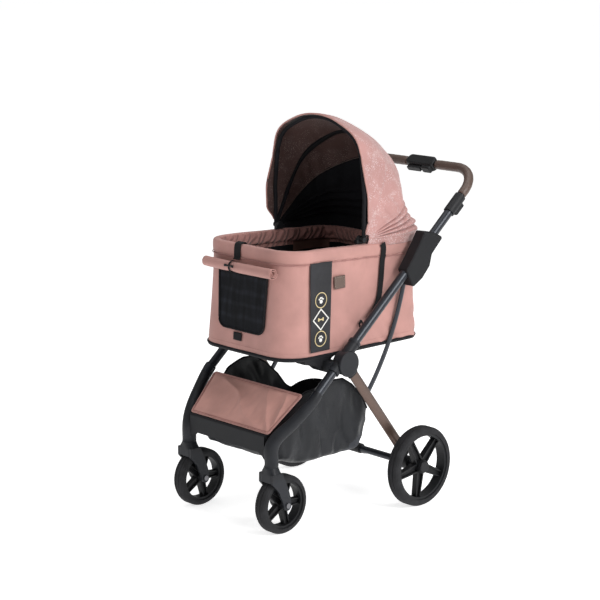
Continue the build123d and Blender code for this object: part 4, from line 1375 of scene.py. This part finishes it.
for side, sign in (("left", 1), ("right", -1)):
    wrap_piece = tube_along(f"grip_wrap_{side}", grip_line(sign), grip_radius, [leather],
                            sides=20)
    subdivide(wrap_piece)
    if sign == 1:
        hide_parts("grips")
    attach(wrap_piece, "handle")
    for row, (shift, drop) in enumerate(((-3.0, -15.0), (3.0, -15.0))):
        line = grip_line(sign, drop)
        moved = []
        for k, (x, y, z) in enumerate(line):
            before, after = line[max(k - 1, 0)], line[min(k + 1, len(line) - 1)]
            run = (Vector(after) - Vector(before)).normalized()
            normal = Vector(bow_place(0, 0, 1)) - Vector(bow_place(0, 0, 0))
            across = run.cross(normal).normalized()
            moved.append(tuple(Vector((x, y, z)) + across * shift))
        seam = dashes_along(f"grip_stitches_{side}_{row}", moved, 3.4, 2.2, 0.55, thread)
        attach(seam, "handle")

# ---------------------------------------------------------------- floor, lights, camera
floor = bpy.data.meshes.new("floor")
floor.from_pydata([(-40, -40, 0), (40, -40, 0), (40, 40, 0), (-40, 40, 0)], [], [(0, 1, 2, 3)])
floor_piece = bpy.data.objects.new("floor", floor)
floor.materials.append(floor_paper)
bpy.context.scene.collection.objects.link(floor_piece)

ROOM_LIGHT = 0.34
world = bpy.data.worlds.new("studio")
world.use_nodes = True
world_nodes, world_links = world.node_tree.nodes, world.node_tree.links
world_nodes["Background"].inputs["Color"].default_value = (1.0, 1.0, 1.0, 1.0)
seen = world_nodes.new("ShaderNodeLightPath")
strength = world_nodes.new("ShaderNodeMath")
strength.operation = "MULTIPLY_ADD"
world_links.new(seen.outputs["Is Camera Ray"], strength.inputs[0])
strength.inputs[1].default_value = 1.0 - ROOM_LIGHT
strength.inputs[2].default_value = ROOM_LIGHT
world_links.new(strength.outputs["Value"], world_nodes["Background"].inputs["Strength"])
bpy.context.scene.world = world


def area_light(name, place, target, size, power):
    data = bpy.data.lights.new(name, "AREA")
    data.shape = "RECTANGLE"
    data.size, data.size_y = size
    data.energy = power
    light = bpy.data.objects.new(name, data)
    bpy.context.scene.collection.objects.link(light)
    light.location = place
    direction = Vector(target) - Vector(place)
    light.rotation_euler = direction.to_track_quat("-Z", "Y").to_euler()


area_light("key_light", (3.6, 0.3, 2.6), (0.1, 0.0, 0.7), (2.0, 2.0), 120)
area_light("fill_light", (-1.2, -3.6, 2.4), (0.0, 0.0, 0.6), (2.4, 2.4), 12)
area_light("top_light", (0.0, 0.6, 4.2), (0.0, 0.0, 0.6), (3.0, 3.0), 55)

CAMERA_AZIMUTH, CAMERA_ELEVATION = math.radians(47.03), math.radians(11.91)
CAMERA_DISTANCE = 5.669883
target = at(0.02, 0.0, 638.036)
back = Vector((math.sin(CAMERA_AZIMUTH) * math.cos(CAMERA_ELEVATION),
               -math.cos(CAMERA_AZIMUTH) * math.cos(CAMERA_ELEVATION), math.sin(CAMERA_ELEVATION)))
camera_data = bpy.data.cameras.new("camera")
camera_data.lens = 111.446
camera_data.sensor_width = 36.0
camera_data.clip_end = 100.0
camera = bpy.data.objects.new("camera", camera_data)
bpy.context.scene.collection.objects.link(camera)
camera.location = target + back * CAMERA_DISTANCE
camera.rotation_euler = (-back).to_track_quat("-Z", "Y").to_euler()
bpy.context.scene.camera = camera
bpy.context.scene.view_settings.view_transform = "Standard"
